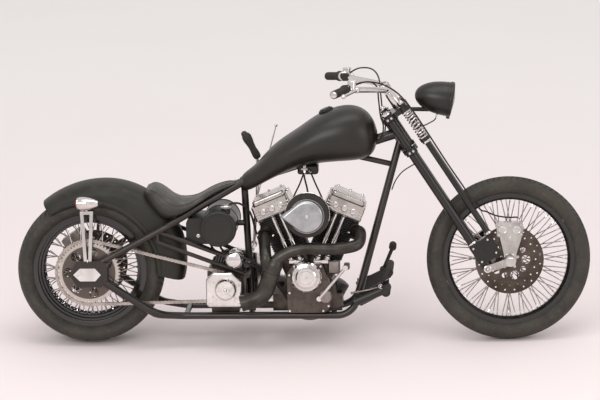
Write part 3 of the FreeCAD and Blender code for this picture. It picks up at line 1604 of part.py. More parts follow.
def grips():
    shapes = []
    for side in (1, -1):
        end, inward = bar_end_frame(side)
        outer = end - inward * seat_gap - inward * cap_height * 0.4
        body = rod(outer, end + inward * grip_length, grip_radius)
        collar = rod(end + inward * (grip_length - cap_height), end + inward * grip_length, grip_radius * 1.3)
        hole = rod(end, end + inward * grip_length * 1.1, bar_radius + shaft_fit)
        shapes.append(fused([body, collar]).cut(hole))
    return Part.makeCompound(shapes)


perch_radius = 19.0
perch_length = 34.0
lever_length = 150.0
lever_radius = 6.5
reservoir_radius = 18.0
reservoir_height = 34.0


def hand_control(side, bar):
    # perch clamped on the bar inboard of the grip, its lever, and a reservoir on top
    end, inward = bar_end_frame(side)
    start = end + inward * (grip_length + part_gap)
    clamp = start + inward * perch_length
    ahead = unit(vec(1, 0, 0) - inward * inward.x)
    pivot = start + inward * perch_length * 0.5 + ahead * lever_reach
    tip = pivot - inward * lever_length + ahead * lever_radius
    perch = fused([rod(start, clamp, perch_radius),
                   rod(start + inward * perch_length * 0.5, pivot, lever_radius * 1.7),
                   Part.makeSphere(lever_radius * 2, pivot)])
    lever = fused([rod(pivot, tip, lever_radius), Part.makeSphere(lever_radius * 1.5, tip)])
    cup_foot = start + inward * perch_length * 0.5 + ahead * lever_reach * 0.5
    cup = Part.makeCylinder(reservoir_radius, reservoir_height, cup_foot)
    whole = fused([perch, lever, cup])
    return whole.cut(bar)


lever_reach = 46.0

lamp_shell_radius = 73.0
lamp_shell_length = 158.0
lamp_wall = 3.0
lamp_tilt = 10.0
lamp_ahead = 200.0
lamp_up = 24.0
lamp_rim_depth = 12.0
lamp_profile_shares = ((0.0, 0.0), (0.02, 0.22), (0.1, 0.47), (0.25, 0.70), (0.45, 0.87), (0.68, 0.965), (0.9, 1.0))


def lamp_placement(shape):
    turn = FreeCAD.Rotation(vec(0, 1, 0), lamp_tilt)
    shape.Placement = FreeCAD.Placement(headlight_face(), turn).multiply(shape.Placement)
    return shape


def headlight_face():
    return vec(neck_centre.x + headlight_reach, 0, neck_centre.z + headlight_rise)


headlight_reach = 238.0
headlight_rise = 118.0


def headlight_shell():
    # bullet shell turned round its long axis, open at the front for the lens
    curve_points = [vec(-lamp_shell_length * (1 - x_share), 0, lamp_shell_radius * r_share)
                    for x_share, r_share in lamp_profile_shares]
    curve = Part.BSplineCurve()
    curve.interpolate(Points=curve_points)
    rim_back = vec(-lamp_rim_depth, 0, lamp_shell_radius)
    rim_front = vec(0, 0, lamp_shell_radius)
    centre = vec(0, 0, 0)
    outline = Part.Wire([
        curve.toShape(), Part.LineSegment(curve_points[-1], rim_back).toShape(),
        Part.LineSegment(rim_back, rim_front).toShape(),
        Part.LineSegment(rim_front, centre).toShape(), Part.LineSegment(centre, curve_points[0]).toShape()])
    solid = Part.Face(outline).revolve(centre, vec(1, 0, 0), 360)
    pocket = Part.makeCylinder(lamp_shell_radius - lamp_wall, lamp_rim_depth * 2, vec(-lamp_rim_depth * 1.5, 0, 0),
                               vec(1, 0, 0))
    shell = lamp_placement(solid.cut(pocket))
    seat_point = headlight_face() - vec(lamp_shell_length * 0.55, 0, lamp_shell_radius * 0.55)
    arm = rod(on_fork(riser_ahead, 0, neck_top + tree_top_thickness * 0.5), seat_point, lamp_arm_radius)
    return fused([shell, arm])


lamp_arm_radius = 9.0


def headlight_lens():
    # shallow dome of glass seated in the rim
    radius = lamp_shell_radius - lamp_wall - seat_gap
    dome = radius * lens_dome_share
    half_turn = math.asin(radius / dome)
    start = -lamp_rim_depth * 1.5 + seat_gap
    centre = -lens_lip - dome * math.cos(half_turn)

    def on_dome(turn):
        return vec(centre + dome * math.cos(turn), 0, dome * math.sin(turn))

    corner = vec(start, 0, radius)
    outline = Part.Wire([
        Part.LineSegment(vec(start, 0, 0), corner).toShape(),
        Part.LineSegment(corner, on_dome(half_turn)).toShape(),
        Part.Arc(on_dome(half_turn), on_dome(half_turn / 2), on_dome(0)).toShape(),
        Part.LineSegment(on_dome(0), vec(start, 0, 0)).toShape(),
    ])
    return lamp_placement(Part.Face(outline).revolve(vec(0, 0, 0), vec(1, 0, 0), 360))


lens_dome_share = 2.4
lens_lip = 2.0


# The side stand, placed after the bike leans, so that its foot lies flat on the floor
stand_pivot = (955.0, 158.0, 98.0)
stand_foot_ahead = 78.0
stand_foot_out = 150.0
stand_foot_radius = 30.0
stand_foot_thickness = 7.0
stand_leg_radius = 9.5
stand_eye_radius = 15.0
stand_eye_half = 11.0
stand_pin_radius = 6.0
stand_ear_thickness = 8.0
stand_room = 4.0


def leaned_low(centre, axle, outline):
    # height of a leaning tyre's lowest point
    return min(centre.z + y * axle.z - r * math.sqrt(1 - axle.z ** 2) for r, y in outline)


def steer_turn():
    # the small turn to the left that the parked fork has
    rotation = FreeCAD.Rotation(axis_up, rest_steer_angle)
    return FreeCAD.Placement(neck_centre - rotation.multVec(neck_centre), rotation)


def parked_pose():
    # lean, then the small pitch and lift that put both tyres on the floor
    steer = steer_turn()
    front_centre = steer.multVec(front_axle)
    front_axis = steer.Rotation.multVec(vec(0, 1, 0))
    pitch = 0.0
    for step in range(6):
        turn = FreeCAD.Rotation(vec(0, 1, 0), pitch).multiply(FreeCAD.Rotation(vec(1, 0, 0), -lean_angle))
        front_low = leaned_low(turn.multVec(front_centre), turn.multVec(front_axis), front_tyre_outline)
        rear_low = leaned_low(turn.multVec(rear_axle), turn.multVec(vec(0, 1, 0)), rear_tyre_outline)
        pitch += math.degrees((front_low - rear_low) / wheelbase)
    return FreeCAD.Placement(vec(-wheelbase / 2, 0, -rear_low), turn)


def stand_layout(pose):
    # pivot, foot, and the hinge axis that swings the leg from the foot's direction to straight back
    pivot = pose.multVec(vec(stand_pivot[0], stand_pivot[1], stand_pivot[2]))
    foot = vec(pivot.x + stand_foot_ahead, pivot.y + stand_foot_out, stand_foot_thickness)
    down = unit(foot - pivot)
    back = pose.Rotation.multVec(vec(-1, 0, 0))
    axis = unit(down.cross(back))
    swing = math.degrees(down.getAngle(back))
    return pivot, foot, down, back, axis, swing


def side_stand(pose):
    pivot, foot, down, back, axis, swing = stand_layout(pose)
    eye = rod(pivot - axis * stand_eye_half, pivot + axis * stand_eye_half, stand_eye_radius)
    leg = rod(pivot, foot + vec(0, 0, stand_leg_radius), stand_leg_radius)
    pad = Part.makeCylinder(stand_foot_radius, stand_foot_thickness, vec(foot.x, foot.y, 0))
    knuckle = Part.makeSphere(stand_leg_radius, foot + vec(0, 0, stand_leg_radius * 0.6))
    hole = rod(pivot - axis * stand_eye_radius, pivot + axis * stand_eye_radius, stand_pin_radius + shaft_fit)
    return fused([eye, leg, pad, knuckle]).cut(hole)


def stand_bracket(pose, rails):
    pivot, foot, down, back, axis, swing = stand_layout(pose)
    inward = unit(down + back) * -1
    rail = pose.multVec(vec(stand_pivot[0], cradle_half_width, cradle_height))
    ears = []
    near = stand_eye_half + part_gap
    far = near + stand_ear_thickness
    for side in (1, -1):
        start = pivot + axis * side * near
        end = pivot + axis * side * far
        ears.append(rod(start, end, stand_eye_radius))
        ears.append(rod(pivot + axis * side * (near + far) / 2 + inward * stand_eye_radius * 0.4,
                        rail + axis * side * (near + far) / 4, stand_ear_thickness / 2))
    pin = rod(pivot - axis * far, pivot + axis * far, stand_pin_radius)
    room = rod(pivot - axis * near, pivot + axis * near, stand_eye_radius + stand_room)
    return fused([fused(ears).cut(room), pin]).cut(rails)


def write(name, shape):
    shape.exportStep("parts/" + name + ".step")
    print(name, shape.isValid(), len(shape.Solids), round(shape.Volume))


def build():
    os.makedirs("parts", exist_ok=True)
    frame = {}
    frame["frame_backbone"] = frame_backbone()
    frame["frame_downtubes"] = frame_downtubes(frame["frame_backbone"])
    frame["frame_lower_rails"] = frame_lower_rails()
    frame["frame_seat_rail_right"] = frame_seat_rail(-1, frame["frame_backbone"], frame["frame_lower_rails"])
    frame["frame_seat_rail_left"] = frame_seat_rail(1, frame["frame_backbone"], frame["frame_lower_rails"])
    seat_rails = [frame["frame_seat_rail_right"], frame["frame_seat_rail_left"]]
    frame["frame_seat_post"] = frame_seat_post(frame["frame_backbone"], frame["frame_lower_rails"], seat_rails)
    frame["fuel_tank"] = fuel_tank(frame["frame_backbone"], frame["frame_downtubes"], seat_rails)
    frame["tank_cap"] = tank_cap(frame["fuel_tank"])
    frame["rear_fender"] = rear_fender()
    frame["seat"] = seat(fender_body(-soft_gap, fender_depth), seat_rails, frame["frame_backbone"])
    frame["fender_struts"] = Part.makeCompound(both_sides(fender_strut()))
    frame["marker_lamps"] = Part.makeCompound(both_sides(marker_lamp(fender_strut())))
    frame["crankcase"] = crankcase()
    frame["cylinder_front"] = cylinder(1)
    frame["cylinder_rear"] = cylinder(-1)
    frame["rocker_boxes"] = Part.makeCompound([rocker_box(1), rocker_box(-1)])
    frame["pushrod_tubes"] = Part.makeCompound([pushrod_tube(side, index) for side in (1, -1) for index in (0, 1)])
    frame["cam_cover"] = cam_cover()
    frame["air_filter"] = air_filter()
    frame["air_cleaner_cover"] = air_cleaner_cover()
    frame["carburettor"] = carburettor()
    frame["exhaust"] = exhaust([frame["cylinder_front"], frame["cylinder_rear"]])
    frame["transmission"] = transmission()
    frame["transmission_cover"] = transmission_cover()
    frame["primary_cover"] = primary_cover()
    frame["oil_tank"] = oil_tank(frame["frame_seat_post"])
    frame["drive_chain"] = drive_chain()
    frame["rear_axle"] = rear_axle_piece()
    frame["rear_caliper"] = rear_caliper()
    frame["forward_control_right"] = forward_control(-1)
    frame["forward_control_left"] = forward_control(1)
    frame["shift_lever"] = shift_lever(frame["frame_seat_post"])

    steering = {}
    steering["fork_trees"] = fork_trees()
    steering["rear_fork_legs"] = rear_fork_legs()
    steering["front_fork_legs"] = front_fork_legs()
    steering["fork_springs"] = fork_springs()
    steering["fork_rockers"] = fork_rockers()
    steering["front_axle"] = front_axle_piece()
    steering["front_caliper"] = front_caliper()
    steering["handlebar"] = handlebar()
    steering["grips"] = grips()
    steering["hand_controls"] = Part.makeCompound([hand_control(side, steering["handlebar"]) for side in (1, -1)])
    steering["headlight_shell"] = headlight_shell().cut(steering["fork_trees"])
    steering["headlight_lens"] = headlight_lens()

    front_wheel = {}
    front_wheel["front_tyre"] = tyre(front_axle, front_tyre_outline)
    front_wheel["front_rim"] = rim(front_axle, front_bead_radius, front_rim_width, front_rim_well)
    front_wheel["front_hub"] = front_hub()
    front_wheel["brake_disc"] = brake_disc(front_axle, -disc_plane_y, disc_seat_radius, disc_radius)
    rear_wheel = {}
    rear_wheel["rear_tyre"] = tyre(rear_axle, rear_tyre_outline)
    rear_wheel["rear_rim"] = rim(rear_axle, rear_bead_radius, rear_rim_width, rear_rim_well)
    rear_wheel["rear_hub"] = rear_hub()
    rear_wheel["rear_sprocket"] = rear_sprocket()
    rear_wheel["rear_disc"] = brake_disc(rear_axle, rear_disc_y, rear_seat_radius, rear_disc_radius)

    pose = parked_pose()
    turned_pose = pose.multiply(steer_turn())
    for group, placement in ((frame, pose), (steering, turned_pose), (front_wheel, turned_pose),
                             (rear_wheel, pose)):
        for name, shape in group.items():
            shape.Placement = placement.multiply(shape.Placement)
            write(name, shape)
    write("side_stand", side_stand(pose))
    write("stand_bracket", stand_bracket(pose, frame["frame_lower_rails"]))


build()
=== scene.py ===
import json
import math

import bmesh
import bpy
from mathutils import Matrix, Vector
from mathutils.bvhtree import BVHTree


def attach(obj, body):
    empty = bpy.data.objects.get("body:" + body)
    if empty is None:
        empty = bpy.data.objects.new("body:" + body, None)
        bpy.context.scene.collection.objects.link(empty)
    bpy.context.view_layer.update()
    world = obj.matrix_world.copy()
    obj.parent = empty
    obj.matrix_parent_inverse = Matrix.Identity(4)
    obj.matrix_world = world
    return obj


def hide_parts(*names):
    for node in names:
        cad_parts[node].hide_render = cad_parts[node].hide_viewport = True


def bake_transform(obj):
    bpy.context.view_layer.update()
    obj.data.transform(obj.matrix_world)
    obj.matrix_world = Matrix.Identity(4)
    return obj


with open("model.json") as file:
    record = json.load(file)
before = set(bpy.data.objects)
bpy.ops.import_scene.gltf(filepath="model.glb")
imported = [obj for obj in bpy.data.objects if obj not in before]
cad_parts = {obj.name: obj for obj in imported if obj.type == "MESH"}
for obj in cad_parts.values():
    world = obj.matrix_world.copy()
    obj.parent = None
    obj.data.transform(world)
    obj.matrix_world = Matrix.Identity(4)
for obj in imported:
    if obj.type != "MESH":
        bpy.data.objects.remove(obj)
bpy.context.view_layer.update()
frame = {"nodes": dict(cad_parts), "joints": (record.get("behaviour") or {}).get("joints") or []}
nodes = frame["nodes"]
joints = {joint["name"]: joint for joint in frame["joints"]}
print("frame loaded")


# Places. Sizes are in millimetres, and the matrices take them to the scene's metres.
bike = {
    "frontAxle": Vector((1790, 0, 350)), "rearAxle": Vector((0, 0, 316)), "rake": 33.0, "forkOffset": 92.0,
    "neckHeight": 914.0, "crank": Vector((940, 0, 212)), "cylinderAngle": 22.5, "unit": 0.001,
}
forward = Vector((1, 0, 0))
leftward = Vector((0, 1, 0))
upward = Vector((0, 0, 1))


def rakeAxes():
    # ahead of the steering axis and up along it, with the bars straight
    rake = math.radians(bike["rake"])
    return Vector((math.cos(rake), 0, math.sin(rake))), Vector((-math.sin(rake), 0, math.cos(rake)))


def neckCentre():
    ahead, up = rakeAxes()
    foot = bike["frontAxle"] - ahead * bike["forkOffset"]
    return foot + up * ((bike["neckHeight"] - foot.z) / up.z)


def axesAt(origin, ahead, left, up):
    place = Matrix((ahead, left, up)).transposed().to_4x4()
    place.translation = origin
    return place


def upright():
    # bike frame as it stands parked: from the rear axle, the steering head and the axle's own direction
    rear = Vector(joints["rear_wheel_spin"]["pos_m"])
    neck = Vector(joints["steering"]["pos_m"])
    left = Vector(joints["rear_wheel_spin"]["axis"]).normalized()
    towards = (neck - rear).normalized()
    over = towards.cross(left)
    own = neckCentre() - bike["rearAxle"]
    rise = math.atan2(own.z, own.x)
    ahead = towards * math.cos(rise) - over * math.sin(rise)
    up = towards * math.sin(rise) + over * math.cos(rise)
    place = axesAt(Vector(), ahead, left, up)
    place.translation = rear - place.to_3x3() @ (bike["rearAxle"] * bike["unit"])
    return place @ Matrix.Scale(bike["unit"], 4)


def forkFrame():
    # X ahead of the steering axis, Y to the left, Z up along it, turned as the parked fork is
    up = Vector(joints["steering"]["axis"]).normalized()
    left = Vector(joints["front_wheel_spin"]["axis"]).normalized()
    place = axesAt(Vector(joints["steering"]["pos_m"]), left.cross(up), left, up)
    return place @ Matrix.Scale(bike["unit"], 4)


def straightFork():
    ahead, up = rakeAxes()
    return axesAt(neckCentre(), ahead, leftward, up)


def cylinderTurn(side):
    # Z up one cylinder from the crankshaft, X towards the front, in the bike's millimetres
    turn = Matrix.Rotation(math.radians(side * bike["cylinderAngle"]), 4, "Y")
    return Matrix.Translation(bike["crank"]) @ turn


parked = upright()
fork = forkFrame()
steered = fork @ straightFork().inverted()
frontWheel = steered @ Matrix.Translation(bike["frontAxle"])
rearWheel = parked @ Matrix.Translation(bike["rearAxle"])


# Mesh making
def circle(count, radius=1.0, start=0.0):
    # pairs of distances spaced evenly round a circle, the first at an angle in degrees
    turns = [math.radians(start) + 2 * math.pi * index / count for index in range(count)]
    return [(radius * math.cos(turn), radius * math.sin(turn)) for turn in turns]


def acrossFrom(axis):
    side = upward if abs(axis.normalized().z) < 0.9 else forward
    across = axis.cross(side).normalized()
    return across, axis.normalized().cross(across)


def smoothPath(corners, steps):
    # curve through all the corners
    points = [corners[0]] + list(corners) + [corners[-1]]
    path = []
    for index in range(1, len(points) - 2):
        before, start, end, after = points[index - 1:index + 3]
        for step in range(steps):
            share = step / steps
            path.append(0.5 * (
                2 * start + (end - before) * share + (2 * before - 5 * start + 4 * end - after) * share ** 2
                + (3 * start - before - 3 * end + after) * share ** 3))
    return path + [points[-2]]


def onSide(y, *pairs):
    # spots on a side face, from their (x, z) pairs
    return [(x, y, z) for x, z in pairs]


def ribbed(stop, pitch, high, low, steps):
    # outline of a ribbed rubber; steps are a rib's length, the groove's start and its end
    outline = []
    along = 2.0
    while along < stop:
        rib, start, end = (along + step for step in steps)
        outline += [(high, along), (high, rib), (low, start), (low, end)]
        along += pitch
    return outline


# heads of screws and nuts as (radius, height) outlines, in shares of their size
heads = {
    "washer": ((1.3, 0), (1.3, 0.16), (0.9, 0.18)),
    "hexagon": ((1.06, 0.14), (1.06, 0.66), (0.9, 0.8)),
    "socket": ((1, 0), (1, 0.85), (0.88, 1), (0.52, 1), (0.48, 0.5), (0.05, 0.45)),
    "collar": ((1.3, 0), (1.3, 0.2), (0.9, 0.22)),
    "nut": ((1, 0.15), (1, 0.8), (0.82, 1)),
    "dome": ((0.82, 0.9), (0.7, 1.35), (0.4, 1.65), (0.0, 1.74)),
}


class Stock:
    # points and faces gathered in one place's millimetres, then made into one mesh
    def __init__(self):
        self.points = []
        self.faces = []

    def add(self, points, faces):
        base = len(self.points)
        self.points += [Vector(point) for point in points]
        self.faces += [[base + corner for corner in face] for face in faces]

    def rings(self, rings, capped=True, looped=False):
        # skin over rings that have the same number of points
        count = len(rings[0])
        faces = []
        pairs = list(zip(range(len(rings) - 1), range(1, len(rings))))
        if looped:
            pairs.append((len(rings) - 1, 0))
        for low, high in pairs:
            for step in range(count):
                after = (step + 1) % count
                faces.append([low * count + step, low * count + after, high * count + after, high * count + step])
        if capped and not looped:
            faces.append(list(range(count))[::-1])
            faces.append([(len(rings) - 1) * count + step for step in range(count)])
        self.add([point for ring in rings for point in ring], faces)

    def lathe(self, outline, origin, axis, segments, looped=False):
        # outline of (radius, height along the axis) pairs
        origin = Vector(origin)
        across, over = acrossFrom(axis)
        axis = axis.normalized()
        self.rings([[origin + axis * height + (across * x + over * y) * max(radius, 0.01)
                     for x, y in circle(segments)] for radius, height in outline], looped=looped)

    def sweep(self, path, radius, sides, flat=1.0, lean=upward):
        # round or flattened bar along a path of points; radius may change along it
        rings = []
        last = None
        for index, point in enumerate(path):
            before = path[max(index - 1, 0)]
            after = path[min(index + 1, len(path) - 1)]
            heading = (after - before).normalized()
            across = heading.cross(lean) if last is None else last - heading * last.dot(heading)
            across.normalize()
            last = across
            over = heading.cross(across) * flat
            size = radius[index] if isinstance(radius, list) else radius
            rings.append([point + across * x + over * y for x, y in circle(sides, size)])
        self.rings(rings)

    def head(self, outline, spot, axis, size, sides):
        self.lathe([(radius * size, height * size) for radius, height in heads[outline]], spot, axis, sides)

    def hexHead(self, spot, axis, size):
        self.head("washer", spot, axis, size, 20)
        self.head("hexagon", spot, axis, size, 6)

    def capHead(self, spot, axis, size):
        self.head("socket", spot, axis, size, 14)

    def acorn(self, spot, axis, size):
        self.head("collar", spot, axis, size, 18)
        self.head("nut", spot, axis, size, 6)
        self.head("dome", spot, axis, size, 14)

    def hoop(self, centre, axis, radius, tube, segments):
        # round ring about an axis
        centre = Vector(centre)
        across, over = acrossFrom(axis)
        axis = axis.normalized()
        rings = []
        for x, y in circle(segments):
            out = across * x + over * y
            rings.append([centre + out * (radius + away) + axis * along for away, along in circle(6, tube)])
        self.rings(rings, looped=True)

    def loop(self, path, radius, sides):
        # round bead along a closed path
        rings = []
        for index, point in enumerate(path):
            heading = (path[(index + 1) % len(path)] - path[index - 1]).normalized()
            across = heading.cross(upward).normalized()
            over = heading.cross(across)
            rings.append([point + across * x + over * y for x, y in circle(sides, radius)])
        self.rings(rings, looped=True)

    def slab(self, centre, half, bevel):
        # block with its edges taken off
        centre, half = Vector(centre), Vector(half)
        rings = []
        for height, inset in ((-half.z, bevel), (-half.z + bevel, 0), (half.z - bevel, 0), (half.z, bevel)):
            wide, deep = half.x - inset, half.y - inset
            rings.append([centre + Vector((x, y, height)) for x, y in (
                (-wide + bevel, -deep), (wide - bevel, -deep), (wide, -deep + bevel), (wide, deep - bevel),
                (wide - bevel, deep), (-wide + bevel, deep), (-wide, deep - bevel), (-wide, -deep + bevel))])
        self.rings(rings)

    def knurled(self, spot, axis, radius, heights, teeth, depth):
        # finger-grip edge: a fluted band between two heights
        spot = Vector(spot)
        across, over = acrossFrom(axis)
        axis = axis.normalized()
        low, high = heights
        rings = []
        for height, inset in ((low, depth), (low + 1, 0), (high - 1, 0), (high, depth)):
            ring = []
            for step, (x, y) in enumerate(circle(teeth * 4)):
                reach = radius - inset - (depth if step % 4 in (0, 1) else 0)
                ring.append(spot + axis * height + (across * x + over * y) * reach)
            rings.append(ring)
        self.rings(rings)

    def build(self, name, place, look, body, crease=35, replaced=()):
        mesh = bpy.data.meshes.new(name)
        mesh.from_pydata([place @ point for point in self.points], [], self.faces)
        shaped = bmesh.new()
        shaped.from_mesh(mesh)
        bmesh.ops.remove_doubles(shaped, verts=shaped.verts, dist=0.00002)
        bmesh.ops.recalc_face_normals(shaped, faces=shaped.faces)
        shaped.to_mesh(mesh)
        shaped.free()
        for face in mesh.polygons:
            face.use_smooth = True
        mesh.set_sharp_from_angle(angle=math.radians(crease))
        mesh.materials.append(look.material)
        piece = bpy.data.objects.new(name, mesh)
        bpy.context.scene.collection.objects.link(piece)
        if body:
            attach(piece, body)
        if replaced:
            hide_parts(*replaced)
        return piece


# Shader nodes
def tone(red, green, blue):
    # linear colour of a display tone
    channels = []
    for value in (red, green, blue):
        share = value / 255
        channels.append(share / 12.92 if share <= 0.04045 else ((share + 0.055) / 1.055) ** 2.4)
    return (*channels, 1.0)


class Field:
    # one socket's output, with sums that add their Math nodes
    def __init__(self, look, output):
        self.look = look
        self.output = output

    def sum(self, operation, *values):
        return self.look.node("ShaderNodeMath", {"operation": operation}, dict(enumerate(values)))

    def __add__(self, other):
        return self.sum("ADD", self, other)

    def __radd__(self, other):
        return self.sum("ADD", other, self)

    def __sub__(self, other):
        return self.sum("SUBTRACT", self, other)

    def __rsub__(self, other):
        return self.sum("SUBTRACT", other, self)

    def __mul__(self, other):
        return self.sum("MULTIPLY", self, other)

    def __rmul__(self, other):
        return self.sum("MULTIPLY", other, self)

    def between(self, low, high):
        # nought below low, one above high
        return self.look.node("ShaderNodeMapRange", {"interpolation_type": "SMOOTHSTEP"}, {0: self, 1: low, 2: high})


def feed(tree, socket, value):
    if isinstance(value, Field):
        tree.links.new(value.output, socket)
    else:
        socket.default_value = value


class Look:
    # one material: its tree, its slot in the record and its base shader
    def __init__(self, name, slot=None):
        self.material = bpy.data.materials.new(name)
        self.material.use_nodes = True
        self.tree = self.material.node_tree
        self.slot = slot
        self.shader = self.tree.nodes["Principled BSDF"]

    def node(self, kind, settings, inputs, output=0):
        node = self.tree.nodes.new(kind)
        for key, value in settings.items():
            setattr(node, key, value)
        for key, value in inputs.items():
            feed(self.tree, node.inputs[key], value)
        return Field(self, node.outputs[output])

    def place(self, stretch=(1, 1, 1)):
        where = self.node("ShaderNodeTexCoord", {}, {}, "Object")
        return self.node("ShaderNodeVectorMath", {"operation": "MULTIPLY"}, {0: where, 1: stretch})

    def noise(self, scale, detail=3, rough=0.5, stretch=(1, 1, 1)):
        return self.node("ShaderNodeTexNoise", {}, {
            "Vector": self.place(stretch), "Scale": scale, "Detail": detail, "Roughness": rough})

    def cells(self, scale):
        return self.node("ShaderNodeTexVoronoi", {}, {"Vector": self.place(), "Scale": scale}, "Distance")

    def facingUp(self):
        normal = self.node("ShaderNodeNewGeometry", {}, {}, "Normal")
        return self.node("ShaderNodeSeparateXYZ", {}, {0: normal}, "Z")

    def blend(self, share, first, second):
        return self.node("ShaderNodeMix", {"data_type": "RGBA"}, {0: share, 6: first, 7: second}, 2)

    def bump(self, height, distance, strength=1.0):
        return self.node("ShaderNodeBump", {}, {"Height": height, "Distance": distance, "Strength": strength})

    def finish(self, **sockets):
        for key, value in sockets.items():
            feed(self.tree, self.shader.inputs[socketNames[key]], value)
        return self


socketNames = {
    "colour": "Base Color", "rough": "Roughness", "metal": "Metallic", "normal": "Normal", "coat": "Coat Weight",
    "coatRough": "Coat Roughness", "clear": "Transmission Weight", "bend": "IOR", "specular": "Specular IOR Level",
}


def paint(name, slot, settings):
    # sprayed paint: faint orange peel, settled dust on what faces up, rubbed patches
    look = Look(name, slot)
    cloud = look.noise(9, 4, 0.6)
    speck = look.noise(420, 2, 0.6)
    settled = look.facingUp().between(0.25, 1.0) * look.noise(26, 5, 0.62).between(0.38, 0.75)
    body = look.blend(cloud.between(0.3, 0.7), settings["base"], settings["warm"])
    colour = look.blend(settled * settings["dust"], body, settings["dustTone"])
    peel = look.noise(190, 2, 0.4)
    return look.finish(
        colour=colour, rough=settings["rough"] + cloud * 0.08 + settled * 0.12 + speck * 0.03,
        coat=settings["coat"], coatRough=settings["coatRough"], specular=settings["shine"],
        normal=look.bump(peel, 0.00012, 0.35))


def metal(name, slot, settings):
    # bright or cast metal: smears, fine grain, and grime that gathers in patches
    look = Look(name, slot)
    smear = look.noise(14, 4, 0.6)
    grain = look.noise(settings["grain"], 3, 0.6)
    grime = look.noise(31, 6, 0.66).between(0.52, 0.8)
    body = look.blend(smear.between(0.25, 0.75), settings["base"], settings["second"])
    colour = look.blend(grime * settings["grime"], body, settings["grimeTone"])
    return look.finish(
        colour=colour, metal=1.0 - grime * (settings["grime"] * 0.6),
        rough=settings["rough"] + (smear - 0.5) * settings["spread"] + grime * 0.15 + grain * settings["spread"] * 0.4,
        normal=look.bump(grain, settings["depth"], 0.5))


def rubber(name, slot, settings):
    look = Look(name, slot)
    cloud = look.noise(12, 4, 0.6)
    fine = look.noise(700, 2, 0.6)
    scuff = look.noise(60, 5, 0.7).between(0.5, 0.78)
    colour = look.blend(cloud.between(0.3, 0.7), settings["base"], settings["second"])
    colour = look.blend(scuff * settings["dust"], colour, settings["dustTone"])
    return look.finish(
        colour=colour, rough=settings["rough"] + fine * 0.1 + scuff * 0.08, specular=0.35,
        normal=look.bump(fine + cloud * 0.4, 0.00022, 0.5))


def leather(name, slot, settings):
    # pebbled grain over broad wrinkles, worn paler along what faces up
    look = Look(name, slot)
    pebble = look.cells(430)
    pores = look.noise(900, 2, 0.5)
    wrinkle = look.noise(24, 5, 0.6, (1, 2.2, 1.4))
    worn = look.facingUp().between(0.35, 0.95) * look.noise(17, 4, 0.6).between(0.36, 0.72)
    colour = look.blend(look.noise(8, 3).between(0.3, 0.7), settings["base"], settings["second"])
    colour = look.blend(worn * 0.75, colour, settings["worn"])
    height = pebble * 0.6 + pores * 0.25 + wrinkle * 2.0
    return look.finish(
        colour=colour, rough=settings["rough"] + pebble * 0.16 - worn * 0.05, coat=0.06, coatRough=0.4,
        normal=look.bump(height, 0.0006, 0.5))


def twoTone(name, slot, first, second, split):
    # one material that changes where a share of the distance or height crosses a limit
    look = Look(name, slot)
    share = split(look)
    cloud = look.noise(40, 5, 0.65)
    grain = look.noise(700, 2, 0.6)
    grime = cloud.between(0.5, 0.8)
    colour = look.blend(share, first["base"], second["base"])
    colour = look.blend(grime * 0.45, colour, second["grimeTone"])
    return look.finish(
        colour=colour, metal=first["metal"] + share * (second["metal"] - first["metal"]),
        rough=first["rough"] + share * (second["rough"] - first["rough"]) + grime * 0.12,
        normal=look.bump(grain, 0.00008, 0.5))


def distanceFrom(look, point, axis):
    # distance of the shaded point from an axis, in metres
    where = look.node("ShaderNodeTexCoord", {}, {}, "Object")
    offset = look.node("ShaderNodeVectorMath", {"operation": "SUBTRACT"}, {0: where, 1: tuple(point)})
    turned = look.node("ShaderNodeVectorMath", {"operation": "CROSS_PRODUCT"}, {0: offset, 1: tuple(axis)})
    return look.node("ShaderNodeVectorMath", {"operation": "LENGTH"}, {0: turned}, 1)


def sprocketSplit(look):
    axis = Vector(joints["rear_wheel_spin"]["axis"]).normalized()
    return distanceFrom(look, joints["rear_wheel_spin"]["pos_m"], axis).between(0.113, 0.116)


def leverSplit(look):
    where = look.node("ShaderNodeTexCoord", {}, {}, "Object")
    return look.node("ShaderNodeSeparateXYZ", {}, {0: where}, "Z").between(0.752, 0.755)


satinBlack = paint("satinBlack", "black_paint", {
    "base": tone(22, 19, 15), "warm": tone(30, 26, 21), "dust": 0.15, "dustTone": tone(74, 69, 62),
    "rough": 0.36, "coat": 0.26, "coatRough": 0.27, "shine": 0.34})
fenderBlack = paint("fenderBlack", "black_paint", {
    "base": tone(30, 28, 23), "warm": tone(40, 37, 31), "dust": 0.3, "dustTone": tone(84, 81, 72),
    "rough": 0.46, "coat": 0.06, "coatRough": 0.36, "shine": 0.3})
glossBlack = paint("glossBlack", "black_alloy", {
    "base": tone(18, 14, 12), "warm": tone(26, 20, 17), "dust": 0.18, "dustTone": tone(98, 88, 80),
    "rough": 0.2, "coat": 0.75, "coatRough": 0.08, "shine": 0.4})
legBlack = paint("legBlack", "black_paint", {
    "base": tone(20, 16, 14), "warm": tone(28, 22, 18), "dust": 0.15, "dustTone": tone(84, 76, 68),
    "rough": 0.22, "coat": 0.35, "coatRough": 0.12, "shine": 0.35})
framePaint = paint("framePaint", "frame_paint", {
    "base": tone(28, 21, 18), "warm": tone(40, 31, 26), "dust": 0.18, "dustTone": tone(84, 74, 66),
    "rough": 0.28, "coat": 0.35, "coatRough": 0.14, "shine": 0.35})
chrome = metal("chrome", "chrome", {
    "base": tone(226, 222, 220), "second": tone(206, 199, 196), "grime": 0.4, "grimeTone": tone(108, 98, 92),
    "rough": 0.09, "spread": 0.09, "grain": 300, "depth": 0.00003})
bareAlloy = metal("bareAlloy", "bare_alloy", {
    "base": tone(166, 156, 150), "second": tone(116, 106, 100), "grime": 0.9, "grimeTone": tone(44, 36, 31),
    "rough": 0.34, "spread": 0.16, "grain": 650, "depth": 0.00022})
